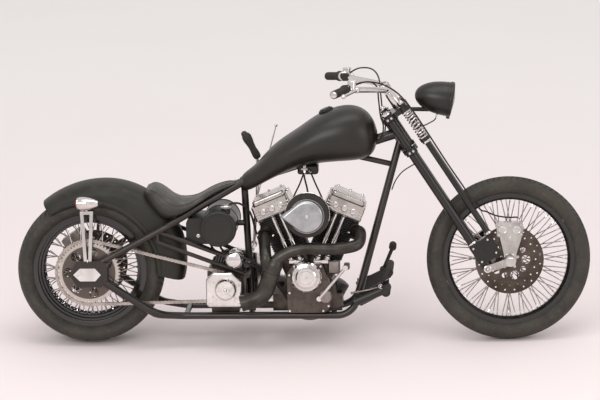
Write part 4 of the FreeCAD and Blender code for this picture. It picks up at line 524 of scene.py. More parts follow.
polishedAlloy = metal("polishedAlloy", "bare_alloy", {
    "base": tone(214, 208, 204), "second": tone(172, 163, 157), "grime": 0.7, "grimeTone": tone(70, 62, 56),
    "rough": 0.18, "spread": 0.14, "grain": 500, "depth": 0.0001})
caseAlloy = metal("caseAlloy", "bare_alloy", {
    "base": tone(104, 95, 89), "second": tone(66, 58, 53), "grime": 0.9, "grimeTone": tone(30, 25, 22),
    "rough": 0.36, "spread": 0.18, "grain": 500, "depth": 0.0003})
coverAlloy = metal("coverAlloy", "chrome", {
    "base": tone(188, 188, 190), "second": tone(150, 150, 152), "grime": 0.3, "grimeTone": tone(96, 88, 82),
    "rough": 0.3, "spread": 0.08, "grain": 500, "depth": 0.00006})
blackAlloy = paint("blackAlloy", "black_alloy", {
    "base": tone(26, 22, 20), "warm": tone(36, 30, 27), "dust": 0.35, "dustTone": tone(104, 96, 88),
    "rough": 0.42, "coat": 0.15, "coatRough": 0.3, "shine": 0.3})
bareSteel = metal("bareSteel", "bare_steel", {
    "base": tone(176, 170, 165), "second": tone(146, 138, 132), "grime": 0.6, "grimeTone": tone(74, 64, 56),
    "rough": 0.26, "spread": 0.16, "grain": 900, "depth": 0.00008})
steelDark = metal("steelDark", "chrome", {
    "base": tone(120, 112, 106), "second": tone(84, 76, 70), "grime": 0.8, "grimeTone": tone(44, 37, 32),
    "rough": 0.3, "spread": 0.16, "grain": 700, "depth": 0.0001})
chainSteel = metal("chainSteel", "bare_steel", {
    "base": tone(196, 186, 179), "second": tone(158, 148, 141), "grime": 0.6, "grimeTone": tone(70, 60, 53),
    "rough": 0.3, "spread": 0.14, "grain": 900, "depth": 0.00008})
discSteel = metal("discSteel", "bare_steel", {
    "base": tone(104, 93, 86), "second": tone(70, 60, 54), "grime": 0.7, "grimeTone": tone(40, 32, 28),
    "rough": 0.3, "spread": 0.14, "grain": 900, "depth": 0.00006})
exhaustBlack = metal("exhaustBlack", "exhaust_steel", {
    "base": tone(84, 80, 75), "second": tone(56, 53, 49), "grime": 0.6, "grimeTone": tone(48, 42, 36),
    "rough": 0.36, "spread": 0.18, "grain": 500, "depth": 0.0001})
foamBlack = rubber("foamBlack", "foam_black", {
    "base": tone(40, 37, 35), "second": tone(54, 50, 47), "dust": 0.3, "dustTone": tone(100, 94, 88), "rough": 0.82})
gripRubber = rubber("gripRubber", "grip_rubber", {
    "base": tone(40, 38, 36), "second": tone(50, 47, 44), "dust": 0.3, "dustTone": tone(88, 83, 77), "rough": 0.68})
hoseRubber = rubber("hoseRubber", "grip_rubber", {
    "base": tone(22, 19, 17), "second": tone(30, 26, 23), "dust": 0.2, "dustTone": tone(88, 80, 74), "rough": 0.5})
tyreRubber = rubber("tyreRubber", "tyre_rubber", {
    "base": tone(48, 45, 39), "second": tone(61, 57, 50), "dust": 0.45, "dustTone": tone(96, 92, 84), "rough": 0.6})
seatLeather = leather("seatLeather", "seat_leather", {
    "base": tone(34, 31, 28), "second": tone(43, 39, 35), "worn": tone(78, 72, 66), "rough": 0.42})
brightRing = {"base": tone(196, 186, 180), "metal": 1.0, "rough": 0.22, "grimeTone": tone(98, 84, 74)}
sprocketSteel = twoTone("sprocketSteel", "chrome", {"base": tone(96, 86, 80), "metal": 0.75, "rough": 0.3},
                        brightRing, sprocketSplit)
leverSteel = twoTone("leverSteel", "chrome", {"base": tone(206, 200, 196), "metal": 1.0, "rough": 0.16},
                     {"base": tone(40, 36, 33), "metal": 0.0, "rough": 0.6, "grimeTone": tone(76, 70, 64)}, leverSplit)


def lensGlass():
    look = Look("lensGlass", "lens_glass")
    flutes = look.node("ShaderNodeTexWave", {"wave_type": "BANDS", "bands_direction": "Y"}, {
        "Vector": look.place(), "Scale": 38.0, "Distortion": 0.0})
    smear = look.noise(20, 3)
    return look.finish(
        colour=tone(236, 240, 241), rough=0.04 + smear * 0.05, clear=0.9, bend=1.46,
        normal=look.bump(flutes, 0.0008, 0.6))


def tinted(name, base, second, rough):
    # moulded lens with fine steps across it
    look = Look(name, "lens_glass")
    steps = look.node("ShaderNodeTexWave", {"wave_type": "BANDS", "bands_direction": "Z"}, {
        "Vector": look.place(), "Scale": 60.0, "Distortion": 0.0})
    return look.finish(
        colour=look.blend(look.noise(60, 3).between(0.3, 0.7), base, second), rough=rough + look.noise(30, 3) * 0.06,
        coat=0.8, coatRough=0.06, normal=look.bump(steps, 0.0006, 0.6))


headGlass = lensGlass()
redGlass = tinted("redGlass", tone(118, 22, 18), tone(150, 34, 26), 0.18)
milkGlass = tinted("milkGlass", tone(232, 228, 216), tone(242, 240, 232), 0.22)

wearing = {
    fenderBlack: ["rear_fender"],
    satinBlack: ["fuel_tank", "oil_tank", "headlight_shell", "tank_cap", "forward_control_right",
                 "forward_control_left"],
    legBlack: ["rear_fork_legs", "front_fork_legs", "fork_trees"],
    framePaint: ["frame_backbone", "frame_downtubes", "frame_lower_rails", "frame_seat_post",
                 "frame_seat_rail_right", "frame_seat_rail_left", "stand_bracket"],
    chrome: ["fender_struts", "marker_lamps", "pushrod_tubes", "cam_cover", "primary_cover", "rear_axle",
             "front_axle", "handlebar", "hand_controls", "side_stand", "fork_springs", "transmission_cover"],
    coverAlloy: ["air_cleaner_cover"],
    polishedAlloy: ["rocker_boxes", "front_caliper", "fork_rockers"],
    caseAlloy: ["crankcase", "transmission"],
    bareAlloy: ["carburettor", "rear_caliper"],
    blackAlloy: ["cylinder_front", "cylinder_rear"],
    glossBlack: ["front_rim", "rear_rim"],
    bareSteel: ["front_hub", "rear_hub"],
    chainSteel: ["drive_chain"],
    discSteel: ["brake_disc", "rear_disc"],
    sprocketSteel: ["rear_sprocket"],
    leverSteel: ["shift_lever"],
    exhaustBlack: ["exhaust"],
    foamBlack: ["air_filter"],
    gripRubber: ["grips"],
    tyreRubber: ["front_tyre", "rear_tyre"],
    seatLeather: ["seat"],
    headGlass: ["headlight_lens"],
}

for look, names in wearing.items():
    for name in names:
        mesh = nodes[name].data
        mesh.materials.clear()
        mesh.materials.append(look.material)
print("frame dressed")


# Tyres: rounded crown, cut by ring grooves and swept grooves that fade out sideways
frontTyre = {
    "node": "front_tyre", "body": "front_wheel", "place": frontWheel,
    "half": ((281.4, 32.0), (288.0, 39.5), (300.0, 45.6), (313.0, 48.0), (325.0, 46.0), (336.0, 38.5),
             (344.5, 26.0), (348.9, 12.0), (350.0, 0.0)),
    "shoulder": 313.0, "rings": (0.14, 0.46), "ringWidth": 0.05, "treadHalf": 38.0, "lugs": 84, "sweepBack": 0.05,
    "depth": 3.4,
}
rearTyre = {
    "node": "rear_tyre", "body": "rear_wheel", "place": rearWheel,
    "half": ((243.4, 73.0), (252.0, 84.5), (264.0, 94.0), (276.0, 98.0), (288.0, 95.5), (299.0, 84.5),
             (307.5, 66.0), (313.2, 44.0), (315.5, 22.0), (316.0, 0.0)),
    "shoulder": 276.0, "rings": (0.0, 0.3, 0.62), "ringWidth": 0.03, "treadHalf": 86.0, "lugs": 70, "sweepBack": 0.09,
    "depth": 4.6,
}
tread = {"lip": 0.4, "margin": 0.6, "groove": 0.14, "ramp": 0.05, "blocks": (0.42, 0.68, 0.95), "plainHalf": 0.18,
         "fadeEnd": 1.05, "fadeLength": 0.4, "ribs": ((1, 0.9), (2, 0.7)), "ribStand": 2, "segments": 120}


def tyreSection(settings):
    left = smoothPath([Vector((radius, y, 0)) for radius, y in settings["half"]], 5)
    return left + [Vector((point.x, -point.y, 0)) for point in left[-2::-1]]


def ringEdges(settings):
    # both edges of each ring groove, across the tread
    edges = set()
    half = settings["ringWidth"] * settings["treadHalf"] / 2
    for ring in settings["rings"]:
        for side in (1, -1):
            middle = side * ring * settings["treadHalf"]
            edges.add((round(middle - half, 3), round(middle + half, 3)))
    return edges


def crownRadius(section, y, floor):
    for start, end in zip(section, section[1:]):
        if end.y <= y <= start.y and min(start.x, end.x) >= floor - 1 and start.y > end.y:
            return start.x + (end.x - start.x) * (y - start.y) / (end.y - start.y)
    return max(point.x for point in section)


def tyreRows(settings):
    # (radius, y, in a ring groove) from the left bead to the right one
    section = tyreSection(settings)
    shoulder = settings["shoulder"]
    edges = ringEdges(settings)
    walls = [(point.x, point.y, False) for point in section if point.x < shoulder]
    crown = [(point.x, point.y, False) for point in section if point.x >= shoulder and not any(
        low - tread["margin"] < point.y < high + tread["margin"] for low, high in edges)]
    for low, high in edges:
        for y, inside in ((low - tread["lip"], False), (low, True), (high, True), (high + tread["lip"], False)):
            crown.append((crownRadius(section, y, shoulder), y, inside))
    crown.sort(key=lambda row: -row[1])
    return [row for row in walls if row[1] > 0] + crown + [row for row in walls if row[1] < 0]


def treadedTyre(settings):
    rows = tyreRows(settings)
    columns = [(0.0, True), (tread["groove"], True), (tread["groove"] + tread["ramp"], False)]
    columns += [(share, False) for share in tread["blocks"]]
    rings = []
    for index in range(settings["lugs"]):
        for share, low in columns:
            ring = []
            for radius, y, inRing in rows:
                reach = abs(y) / settings["treadHalf"]
                fade = min(max((tread["fadeEnd"] - reach) / tread["fadeLength"], 0.0), 1.0)
                cut = radius > settings["shoulder"] and (inRing or (low and reach > tread["plainHalf"]))
                turn = 2 * math.pi * (index + share) / settings["lugs"] + settings["sweepBack"] * min(reach, 1.0)
                deep = radius - (settings["depth"] * fade if cut else 0.0)
                ring.append(Vector((deep * math.cos(turn), y, deep * math.sin(turn))))
            rings.append(ring)
    stock = Stock()
    stock.rings(rings, looped=True)
    stock.build(settings["node"] + "_tread", settings["place"], tyreRubber, settings["body"], 32, [settings["node"]])


def wallRibs(settings):
    stock = Stock()
    for side in (1, -1):
        for row, tube in tread["ribs"]:
            radius, y = settings["half"][row]
            stock.hoop((0, side * y, 0), leftward, radius + tread["ribStand"], tube, tread["segments"])
    stock.build(settings["node"] + "_ribs", settings["place"], tyreRubber, settings["body"], 60)


for settings in (frontTyre, rearTyre):
    treadedTyre(settings)
    wallRibs(settings)
print("tyres")


# Wheels: spoke nipples, hub and disc screws (height, circle, count, size), valve stems, and the stepped
# barrels inside the rims' edges as (radius, distance from the wheel's middle)
wheelTrim = {
    "front": {"place": frontWheel, "body": "front_wheel", "hole": (42.5, 32.5), "rim": (251.3, 6.4),
              "screws": ((-64.6, 36.0, 5, 5.0),), "valve": 250.0,
              "steps": ((280, 31.6), (276, 29), (273.5, 23.5), (267, 22), (265, 17), (258.5, 15.5), (256.5, 11.5),
                        (253.5, 10), (258, 8), (270, 18), (278, 28))},
    "rear": {"place": rearWheel, "body": "rear_wheel", "hole": (58.5, 54.5), "rim": (206.3, 14.6),
             "screws": ((94.6, 47.0, 5, 5.5), (-122.1, 47.0, 7, 5.5)), "valve": 205.0,
             "steps": ((242, 72.6), (237, 70), (234, 62.5), (226.5, 61), (223.5, 53), (215, 51.5), (212, 43),
                       (203.5, 41.5), (200.5, 32), (203, 25), (209, 24), (226, 50), (236, 66))},
}
spokes = {"count": 80, "lean": 38.0, "nipple": ((3.7, 0), (3.7, 10.5), (2.5, 15)),
          "elbow": ((3.4, -2.5), (3.4, 0.5), (2.2, 2.5)),
          "stem": ((4, 0), (4, 16), (3, 18), (3, 30), (3.6, 30), (3.6, 36), (0, 37))}


def trimWheel(name, settings):
    stock = Stock()
    holeRadius, holeSide = settings["hole"]
    rimRadius, rimSide = settings["rim"]
    for index in range(spokes["count"]):
        side = 1 if index % 2 else -1
        lean = math.radians(spokes["lean"] if (index // 2) % 2 else -spokes["lean"])
        turn = 2 * math.pi * (index + 0.5) / spokes["count"]
        start = Vector((holeRadius * math.cos(turn + lean), side * holeSide, holeRadius * math.sin(turn + lean)))
        end = Vector((rimRadius * math.cos(turn), side * rimSide, rimRadius * math.sin(turn)))
        stock.lathe(spokes["nipple"], end, start - end, 6)
        stock.lathe(spokes["elbow"], start, end - start, 6)
    for height, radius, count, size in settings["screws"]:
        for spot in onSide(height, *circle(count, radius, 90 / count)):
            stock.hexHead(spot, leftward * math.copysign(1, height), size)
    stock.lathe(spokes["stem"], (0, 0, -settings["valve"]), upward, 10)
    stock.build(name + "_wheel_trim", settings["place"], chrome, settings["body"])


def rimBarrel(name, settings):
    stock = Stock()
    for side in (1, -1):
        stock.lathe([(radius, side * away) for radius, away in settings["steps"]], Vector(), leftward, 120, looped=True)
    stock.build(name + "_rim_steps", settings["place"], glossBlack, settings["body"])


for name, settings in wheelTrim.items():
    trimWheel(name, settings)
    rimBarrel(name, settings)
print("wheel trim")


# Chain: side plates and rollers round the two sprockets, given as (x, z, pitch radius)
chain = {"rear": (0.0, 316.0, 139.05), "front": (588.0, 250.0, 58.29), "pitch": 15.875, "plane": -118.0,
         "plateHalf": 7.1, "waist": 5.2, "inner": 5.0, "plate": 1.15, "gap": 0.1, "roller": ((5, -5), (5, 5)),
         "rivet": ((2.4, -7.4), (2.6, -7.0), (2.6, 7.0), (2.4, 7.4))}


def chainPins():
    # pins one pitch apart round the closed loop: an arc, a straight run, an arc and a run
    rearX, rearZ, rearR = chain["rear"]
    frontX, frontZ, frontR = chain["front"]
    reach = math.hypot(frontX - rearX, frontZ - rearZ)
    tilt = math.atan2(frontZ - rearZ, frontX - rearX)
    lift = math.acos((rearR - frontR) / reach)
    run = math.sqrt(reach ** 2 - (rearR - frontR) ** 2)
    stretches = (("rear", tilt + lift, True, rearR * (2 * math.pi - 2 * lift)), ("rear", tilt - lift, False, run),
                 ("front", tilt - lift, True, frontR * 2 * lift), ("front", tilt + lift, False, run))
    total = sum(length for sprocket, turn, curved, length in stretches)
    count = round(total / chain["pitch"])
    pins = []
    for index in range(count):
        along = index * total / count
        for sprocket, turn, curved, length in stretches:
            if along < length:
                break
            along -= length
        x, z, radius = chain[sprocket]
        if curved:
            turn += along / radius
        pin = Vector((x + radius * math.cos(turn), 0, z + radius * math.sin(turn)))
        pins.append(pin if curved else pin + Vector((-math.sin(turn), 0, math.cos(turn))) * along)
    return pins


def linkPlate(stock, start, end, low, high):
    # waisted plate with round ends, from one pin to the next
    along = (end - start).normalized()
    over = Vector((-along.z, 0, along.x))
    outline = []
    for centre, heading, side in ((start, -along, over), (end, along, -over)):
        for step in range(7):
            turn = math.pi * step / 6
            outline.append(centre + (side * math.cos(turn) + heading * math.sin(turn)) * chain["plateHalf"])
        outline.append((start + end) / 2 - side * chain["waist"])
    stock.rings([[point + leftward * y for point in outline] for y in (low, high)])


def driveChain():
    stock = Stock()
    pins = chainPins()
    for index, pin in enumerate(pins):
        after = pins[(index + 1) % len(pins)]
        offset = chain["inner"] + (chain["plate"] + chain["gap"] if index % 2 else 0.0)
        for side in (1, -1):
            low = chain["plane"] + side * offset
            linkPlate(stock, pin, after, low, low + side * chain["plate"])
        stock.lathe(chain["roller"], pin + leftward * chain["plane"], leftward, 10)
        stock.lathe(chain["rivet"], pin + leftward * chain["plane"], leftward, 8)
    stock.build("drive_chain_links", parked, chainSteel, "frame", 30, ["drive_chain"])


driveChain()
print("chain")


# Springs: open coils that close up towards the cups at their ends
spring = {"ahead": 79.0, "side": 92.0, "low": -86.0, "high": 48.0, "coil": 18.2, "wire": 3.6, "turns": 9, "ease": 0.04,
          "seat": 5.0, "steps": 20, "cup": ((8.0, 0), (22.6, 0), (23.0, 1), (23.0, 4), (22.0, 5), (8.0, 5))}


def coilSprings():
    stock = Stock()
    steps = spring["turns"] * spring["steps"]
    room = spring["seat"] + spring["wire"]
    for side in (1, -1):
        base = Vector((spring["ahead"], side * spring["side"], 0))
        path = []
        for step in range(steps + 1):
            share = step / steps
            eased = share - spring["ease"] * math.sin(2 * math.pi * share)
            height = spring["low"] + room + (spring["high"] - spring["low"] - 2 * room) * eased
            turn = 2 * math.pi * spring["turns"] * share
            path.append(base + Vector((spring["coil"] * math.cos(turn), spring["coil"] * math.sin(turn), height)))
        stock.sweep(path, spring["wire"], 8)
        for low in (spring["low"], spring["high"] - spring["seat"]):
            stock.lathe(spring["cup"], base + upward * low, upward, 28, looped=True)
    stock.build("fork_spring_coils", fork, chrome, "steering", 40, ["fork_springs"])


coilSprings()
print("springs")


# Fork fasteners, drawn in the fork's own frame. Collars are (outline, ahead, height, segments).
forkBits = {
    "side": 92.0, "legAhead": 79.0, "clampFace": 118.5, "clamps": ((-9, 59.3), (9, 59.3), (-9, -108.3), (9, -108.3)),
    "clampScrew": 5.25, "blockFace": 110.9, "block": ((-10, -600), (62, -600), (-10, -667), (62, -667)),
    "pivot": (-7, -704), "pivotFace": 123.3, "pivotEnd": 129.3, "pivotRing": ((15, 0), (16, 1), (16, 4), (14, 5)),
    "collars": ((((21.2, -2), (22, 0), (22, 4), (17, 8), (9, 9.6), (0, 10)), 0, 80, 28),
                (((21.5, 0), (23.0, 1.5), (23.0, 7), (21.5, 9)), 0, -584, 28),
                (((15.0, 0), (17.0, 1.5), (17.0, 9), (15.0, 11)), 79, -584, 24),
                (((15.0, -12), (18.5, -10), (18.5, -1.5), (16, 0)), 79, -102, 24)),
    "bearings": (48.2, -96.2), "axleEnd": 125.2, "washer": ((21.5, 0), (21.5, 2), (19, 2.2)),
    "nut": ((20.5, 2), (20.5, 10.5), (18, 12.3), (13, 12.3)), "sleeves": ((-583, -121), (-84, 46)),
    "leg": 17.0, "sleeve": 20.3,
}


def forkTrim():
    stock = Stock()
    nuts = Stock()
    sleeves = Stock()
    for side in (1, -1):
        out = leftward * side
        for spot in onSide(side * forkBits["clampFace"], *forkBits["clamps"]):
            stock.capHead(spot, out, forkBits["clampScrew"])
        for spot in onSide(side * forkBits["blockFace"], *forkBits["block"]):
            stock.capHead(spot, out, 5)
        for outline, ahead, height, segments in forkBits["collars"]:
            stock.lathe(outline, (ahead, side * forkBits["side"], height), upward, segments)
        pivotX, pivotZ = forkBits["pivot"]
        stock.acorn((forkBits["legAhead"], side * forkBits["side"], 84), upward, 10)
        stock.acorn((pivotX, side * forkBits["pivotEnd"], pivotZ), out, 9)
        stock.lathe(forkBits["pivotRing"], (pivotX, side * forkBits["pivotFace"], pivotZ), out, 24)
        nuts.lathe(forkBits["washer"], (0, side * forkBits["axleEnd"], 0), out, 28)
        nuts.lathe(forkBits["nut"], (0, side * forkBits["axleEnd"], 0), out, 6)
        for low, high in forkBits["sleeves"]:
            leg, sleeve = forkBits["leg"], forkBits["sleeve"]
            sleeves.lathe([(leg, low), (sleeve, low + 2), (sleeve, high - 2), (leg, high)],
                          (0, side * forkBits["side"], 0), upward, 32)
    stock.acorn((0, 0, 82.3), upward, 17)
    for height in forkBits["bearings"]:
        stock.hoop((0, 0, height), upward, 34.6, 1.6, 40)
    stock.build("fork_fasteners", fork, chrome, "steering")
    nuts.build("front_axle_nuts", frontWheel, chrome, "steering")
    sleeves.build("fork_leg_sleeves", fork, legBlack, "steering")


forkTrim()


# Brakes: piston covers, body screws, bracket bolts and a bleed nipple, from each wheel's axle
brake = {
    "frontFace": -88.2, "rearFace": 118.3, "rearTurn": -35, "pistons": ((-30, 132), (30, 132)),
    "body": ((-47, 112), (47, 112), (-47, 152), (47, 152)), "bracket": ((0, 96), (-13, 22), (13, 22)),
    "frontCover": ((17, 0), (17, 2), (14.5, 3.5), (13, 3.0), (6, 3.0), (0, 3.4)),
    "rearCover": ((17, 0), (17, 2), (14.5, 3.5), (6, 3.0), (0, 3.4)),
    "bleed": ((4.5, 0), (4.5, 6), (2.6, 7), (2.6, 15), (3.4, 15), (3.4, 18), (0, 18.5)),
}


def brakeTrim():
    front = Stock()
    for spot in onSide(brake["frontFace"], *brake["pistons"]):
        front.lathe(brake["frontCover"], spot, -leftward, 28)
    for spot in onSide(brake["frontFace"], *brake["body"], (0, 152)):
        front.capHead(spot, -leftward, 5.2)
    for spot in onSide(brake["frontFace"], *brake["bracket"]):
        front.hexHead(spot, -leftward, 6)
    front.lathe(brake["bleed"], (36, -74, 164), upward, 10)
    front.build("front_brake_bolts", frontWheel, chrome, "steering")
    rear = Stock()
    turn = Matrix.Rotation(math.radians(brake["rearTurn"]), 4, "Y")
    for spot in onSide(brake["rearFace"], *brake["pistons"]):
        rear.lathe(brake["rearCover"], turn @ Vector(spot), leftward, 28)
    for spot in onSide(brake["rearFace"], *brake["body"]):
        rear.capHead(turn @ Vector(spot), leftward, 5.2)
    rear.build("rear_brake_bolts", rearWheel, chrome, "frame")


brakeTrim()
print("fork and brakes")


# Headlight: rim, curved reflector, bulb and a fluted lens, from the middle of the lamp's face
lamp = {
    "face": Vector((1552.04, 0, 1032)), "tilt": 10.0, "segments": 72,
    "rim": ((73.4, -13), (75.6, -12), (76.3, -9), (76.3, -2), (75, 1.5), (72, 3), (69.5, 1.8), (69.0, -1.5),
            (69.6, -3)),
    "bowl": ((67.5, -3.2), (64, -8), (51, -13.2), (34, -16), (16, -17.4), (15.9, -17.8), (34, -16.6), (51, -13.9),
             (64.5, -8.8), (68.2, -3.6)),
    "bulb": ((12, -17.6), (12, -13), (8, -12), (8.5, -6), (8, 0), (5.5, 4), (0, 6)),
    "lensRadius": 69.6, "dome": 168.0, "lensFront": -2.0, "lensThick": 3.0,
}
lampPlace = steered @ Matrix.Translation(lamp["face"]) @ Matrix.Rotation(math.radians(lamp["tilt"]), 4, "Y")


def headlight():
    rim = Stock()
    rim.lathe(lamp["rim"], Vector(), forward, lamp["segments"], looped=True)
    rim.slab((-5, 0, -78), (6, 5, 5), 1.5)
    rim.capHead((1, 0, -79), forward, 3.2)
    rim.hoop((-24, 0, 0), forward, 73.1, 0.9, lamp["segments"])
    rim.build("headlight_rim", lampPlace, satinBlack, "steering")
    bowl = Stock()
    bowl.lathe(lamp["bowl"], Vector(), forward, lamp["segments"], looped=True)
    bowl.build("headlight_reflector", lampPlace, chrome, "steering")
    bulb = Stock()
    bulb.lathe(lamp["bulb"], Vector(), forward, 24)
    bulb.build("headlight_bulb", lampPlace, milkGlass, "steering")
    half = math.asin(lamp["lensRadius"] / lamp["dome"])
    centre = lamp["lensFront"] - lamp["dome"] * math.cos(half)
    outer, inner = ([(radius * math.sin(half * (1 - step / 12)), centre + radius * math.cos(half * (1 - step / 12)))
                     for step in range(13)] for radius in (lamp["dome"], lamp["dome"] - lamp["lensThick"]))
    lens = Stock()
    lens.lathe(outer + inner[::-1], Vector(), forward, lamp["segments"], looped=True)
    lens.build("headlight_dome", lampPlace, headGlass, "steering", 60, ["headlight_lens"])


headlight()


# Marker lamps on the fender struts: red lens, bezel and a rubber boot at the tip
marker = {
    "side": 151, "height": 620, "rear": -37.4, "tip": 50, "rings": ((-14, 30.2), (10, 27.4)),
    "bezel": ((24.4, -3), (26, -2), (26.4, 1.5), (24, 3), (21.5, 2)),
    "lens": ((22.2, 0.5), (21.5, 4), (17, 8), (9, 10.5), (0, 11.2)),
    "boot": ((13.6, 0), (12.8, 3), (9.2, 10), (5.2, 16), (2.0, 18.4), (0, 18.8)), "strutFace": 156.2,
}


def markerLamps():
    bright = Stock()
    red = Stock()
    boot = Stock()
    for side in (1, -1):
        spot = Vector((marker["rear"], side * marker["side"], marker["height"]))
        bright.lathe(marker["bezel"], spot, -forward, 40)
        for x, radius in marker["rings"]:
            bright.hoop((x, spot.y, spot.z), forward, radius, 0.9, 48)
        red.lathe(marker["lens"], spot, -forward, 40)
        boot.lathe(marker["boot"], (marker["tip"], spot.y, spot.z), forward, 28)
        for x in (-19, 19):
            bright.hexHead((x, side * marker["strutFace"], 580), leftward * side, 5)
        bright.acorn((0, side * marker["strutFace"], 372), leftward * side, 6)
    bright.build("marker_lamp_bezels", parked, chrome, "frame")
    red.build("marker_lamp_lenses", parked, redGlass, "frame")
    boot.build("marker_lamp_boots", parked, gripRubber, "frame")


markerLamps()


# Fender: rolled bead along the skirt
fenderEdge = {"side": 109.6, "radius": 301.0, "from": -2.0, "to": 122.0, "half": 10.0, "flat": 0.42, "steps": 60}


def fenderBead():
    stock = Stock()
    for side in (1, -1):
        path = []
        for step in range(fenderEdge["steps"] + 1):
            angle = fenderEdge["from"] + (fenderEdge["to"] - fenderEdge["from"]) * step / fenderEdge["steps"]
            x, z = circle(1, fenderEdge["radius"], angle)[0]
            path.append(bike["rearAxle"] + Vector((x, side * fenderEdge["side"], z)))
        stock.sweep(path, fenderEdge["half"], 14, fenderEdge["flat"], leftward)
    stock.build("fender_edge_beads", parked, fenderBlack, "frame")


fenderBead()


# Fender shell: a tight arc in front of its top and a flatter one behind it, with a full crown. The section
# gives each point's drop below the top and its half width as shares.
fender = {"topAhead": 66.0, "top": 703.0, "front": 347.0, "rear": 420.0, "half": 109.0, "crown": 62.0, "skirt": 292.0,
          "wall": 3.0, "from": -14.0, "to": 129.0, "steps": 72,
          "section": ((1.0, 1.0), (0.62, 0.955), (0.34, 0.84), (0.16, 0.66), (0.06, 0.42), (0.015, 0.2), (0.0, 0.0))}


def fenderShell():
    rings = []
    for step in range(fender["steps"] + 1):
        angle = fender["from"] + (fender["to"] - fender["from"]) * step / fender["steps"]
        radius = fender["front"] if angle < 90 else fender["rear"]
        centre = Vector((fender["topAhead"], 0, fender["top"] - radius))
        out = Vector((math.cos(math.radians(angle)), 0, math.sin(math.radians(angle))))
        offset = centre - bike["rearAxle"]
        low = -offset.dot(out) + math.sqrt(offset.dot(out) ** 2 - offset.dot(offset) + fender["skirt"] ** 2)
        ring = []
        for inset in (0.0, fender["wall"]):
            half = fender["half"] - inset
            path = [centre + out * low + leftward * half]
            path += [centre + out * (radius - inset - fender["crown"] * drop) + leftward * (half * width)
                     for drop, width in fender["section"]]
            path += [Vector((point.x, -point.y, point.z)) for point in path[-2::-1]]
            ring += path if inset == 0.0 else path[::-1]
        rings.append(ring)
    stock = Stock()
    stock.rings(rings)
    stock.build("fender_shell", parked, fenderBlack, "frame", 40, ["rear_fender"])


fenderShell()
print("lamps and fender")


# Seat: a short cloth run fills the cover out between its side seams, then piping is laid along them.
# The run's own sizes are in metres.
cushion = {"voxel": 0.006, "start": 0.006, "frames": 20, "cap": 0.011, "seamHalf": 0.014, "seamEase": 0.03,
           "slack": 0.04, "low": 235.0, "high": 640.0, "steps": 48, "angle": 10.0, "inset": 12, "piping": 2.6,
           "sunk": 0.9, "stitches": (-7, 8), "stitchInset": 24, "thread": 0.7}
cover = {"quality": 6, "mass": 0.5, "tension_stiffness": 22, "compression_stiffness": 14, "shear_stiffness": 8,
         "bending_stiffness": 2.5, "use_pressure": True, "uniform_pressure_force": 4.0, "vertex_group_mass": "held",
         "pin_stiffness": 1.0}


def skinOf(mesh):
    return BVHTree.FromPolygons([vertex.co for vertex in mesh.vertices], [face.vertices for face in mesh.polygons])


def seatMiddle(x, skin, back):
    # half-way height of the seat on its middle line, met from above and from below
    heights = []
    for height, way in ((1200, -1), (0, 1)):
        heading = (back.to_3x3() @ parked.to_3x3() @ (upward * way)).normalized()
        spot = skin.ray_cast(back @ parked @ Vector((x, 0, height)), heading)[0]
        if spot is None:
            return None
        heights.append((parked.inverted() @ back.inverted() @ spot).z)
    return sum(heights) / 2


def seamRay(side, angle):
    return Vector((0, side * math.cos(math.radians(angle)), math.sin(math.radians(angle))))


def seamPath(side, angle, inset, skin, back):
    # points where rays from the seat's middle line leave the skin; back takes the scene into the skin's place
    path = []
    for step in range(cushion["steps"] + 1):
        x = cushion["low"] + inset + (cushion["high"] - cushion["low"] - 2 * inset) * step / cushion["steps"]
        middle = seatMiddle(x, skin, back)
        if middle is None:
            continue
        heading = (back.to_3x3() @ parked.to_3x3() @ seamRay(side, angle)).normalized()
        spot = skin.ray_cast(back @ parked @ Vector((x, 0, middle)), heading)[0]
        if spot is not None:
            path.append(parked.inverted() @ back.inverted() @ spot)
    return path


def bakeShape(piece):
    # the shape with its modifiers becomes the mesh, and the modifiers go
    graph = bpy.context.evaluated_depsgraph_get()
    mesh = bpy.data.meshes.new_from_object(piece.evaluated_get(graph), preserve_all_data_layers=True, depsgraph=graph)
    piece.modifiers.clear()
    piece.data = mesh


def inflate(piece):
    cloth = piece.modifiers.new("cover", "CLOTH")
    for key, value in cover.items():
        setattr(cloth.settings, key, value)
    cloth.settings.effector_weights.gravity = 0
    cloth.point_cache.frame_end = cushion["frames"]
    for step in range(1, cushion["frames"] + 1):
        bpy.context.scene.frame_set(step)
    bakeShape(piece)
    bpy.context.scene.frame_set(1)


def holdSeams(piece):
    # the cover starts a little inside the solid, held along its seams and over its underside
    solid, back = skinOf(nodes["seat"].data), nodes["seat"].matrix_world.inverted()
    seams = [parked @ point for side in (1, -1)
             for point in seamPath(side, cushion["angle"], cushion["inset"], solid, back)]
    held = piece.vertex_groups.new(name="held")
    above = parked.to_3x3().normalized() @ upward
    for vertex in piece.data.vertices:
        near = min((vertex.co - point).length for point in seams)
        share = 1.0 if vertex.normal.dot(above) < -0.4 else max(1.0 - near / cushion["seamHalf"], 0.0)
        vertex.co -= vertex.normal * cushion["start"] * (0.35 + 0.65 * min(near / cushion["seamEase"], 1.0))
        held.add([vertex.index], max(share, cushion["slack"]), "REPLACE")


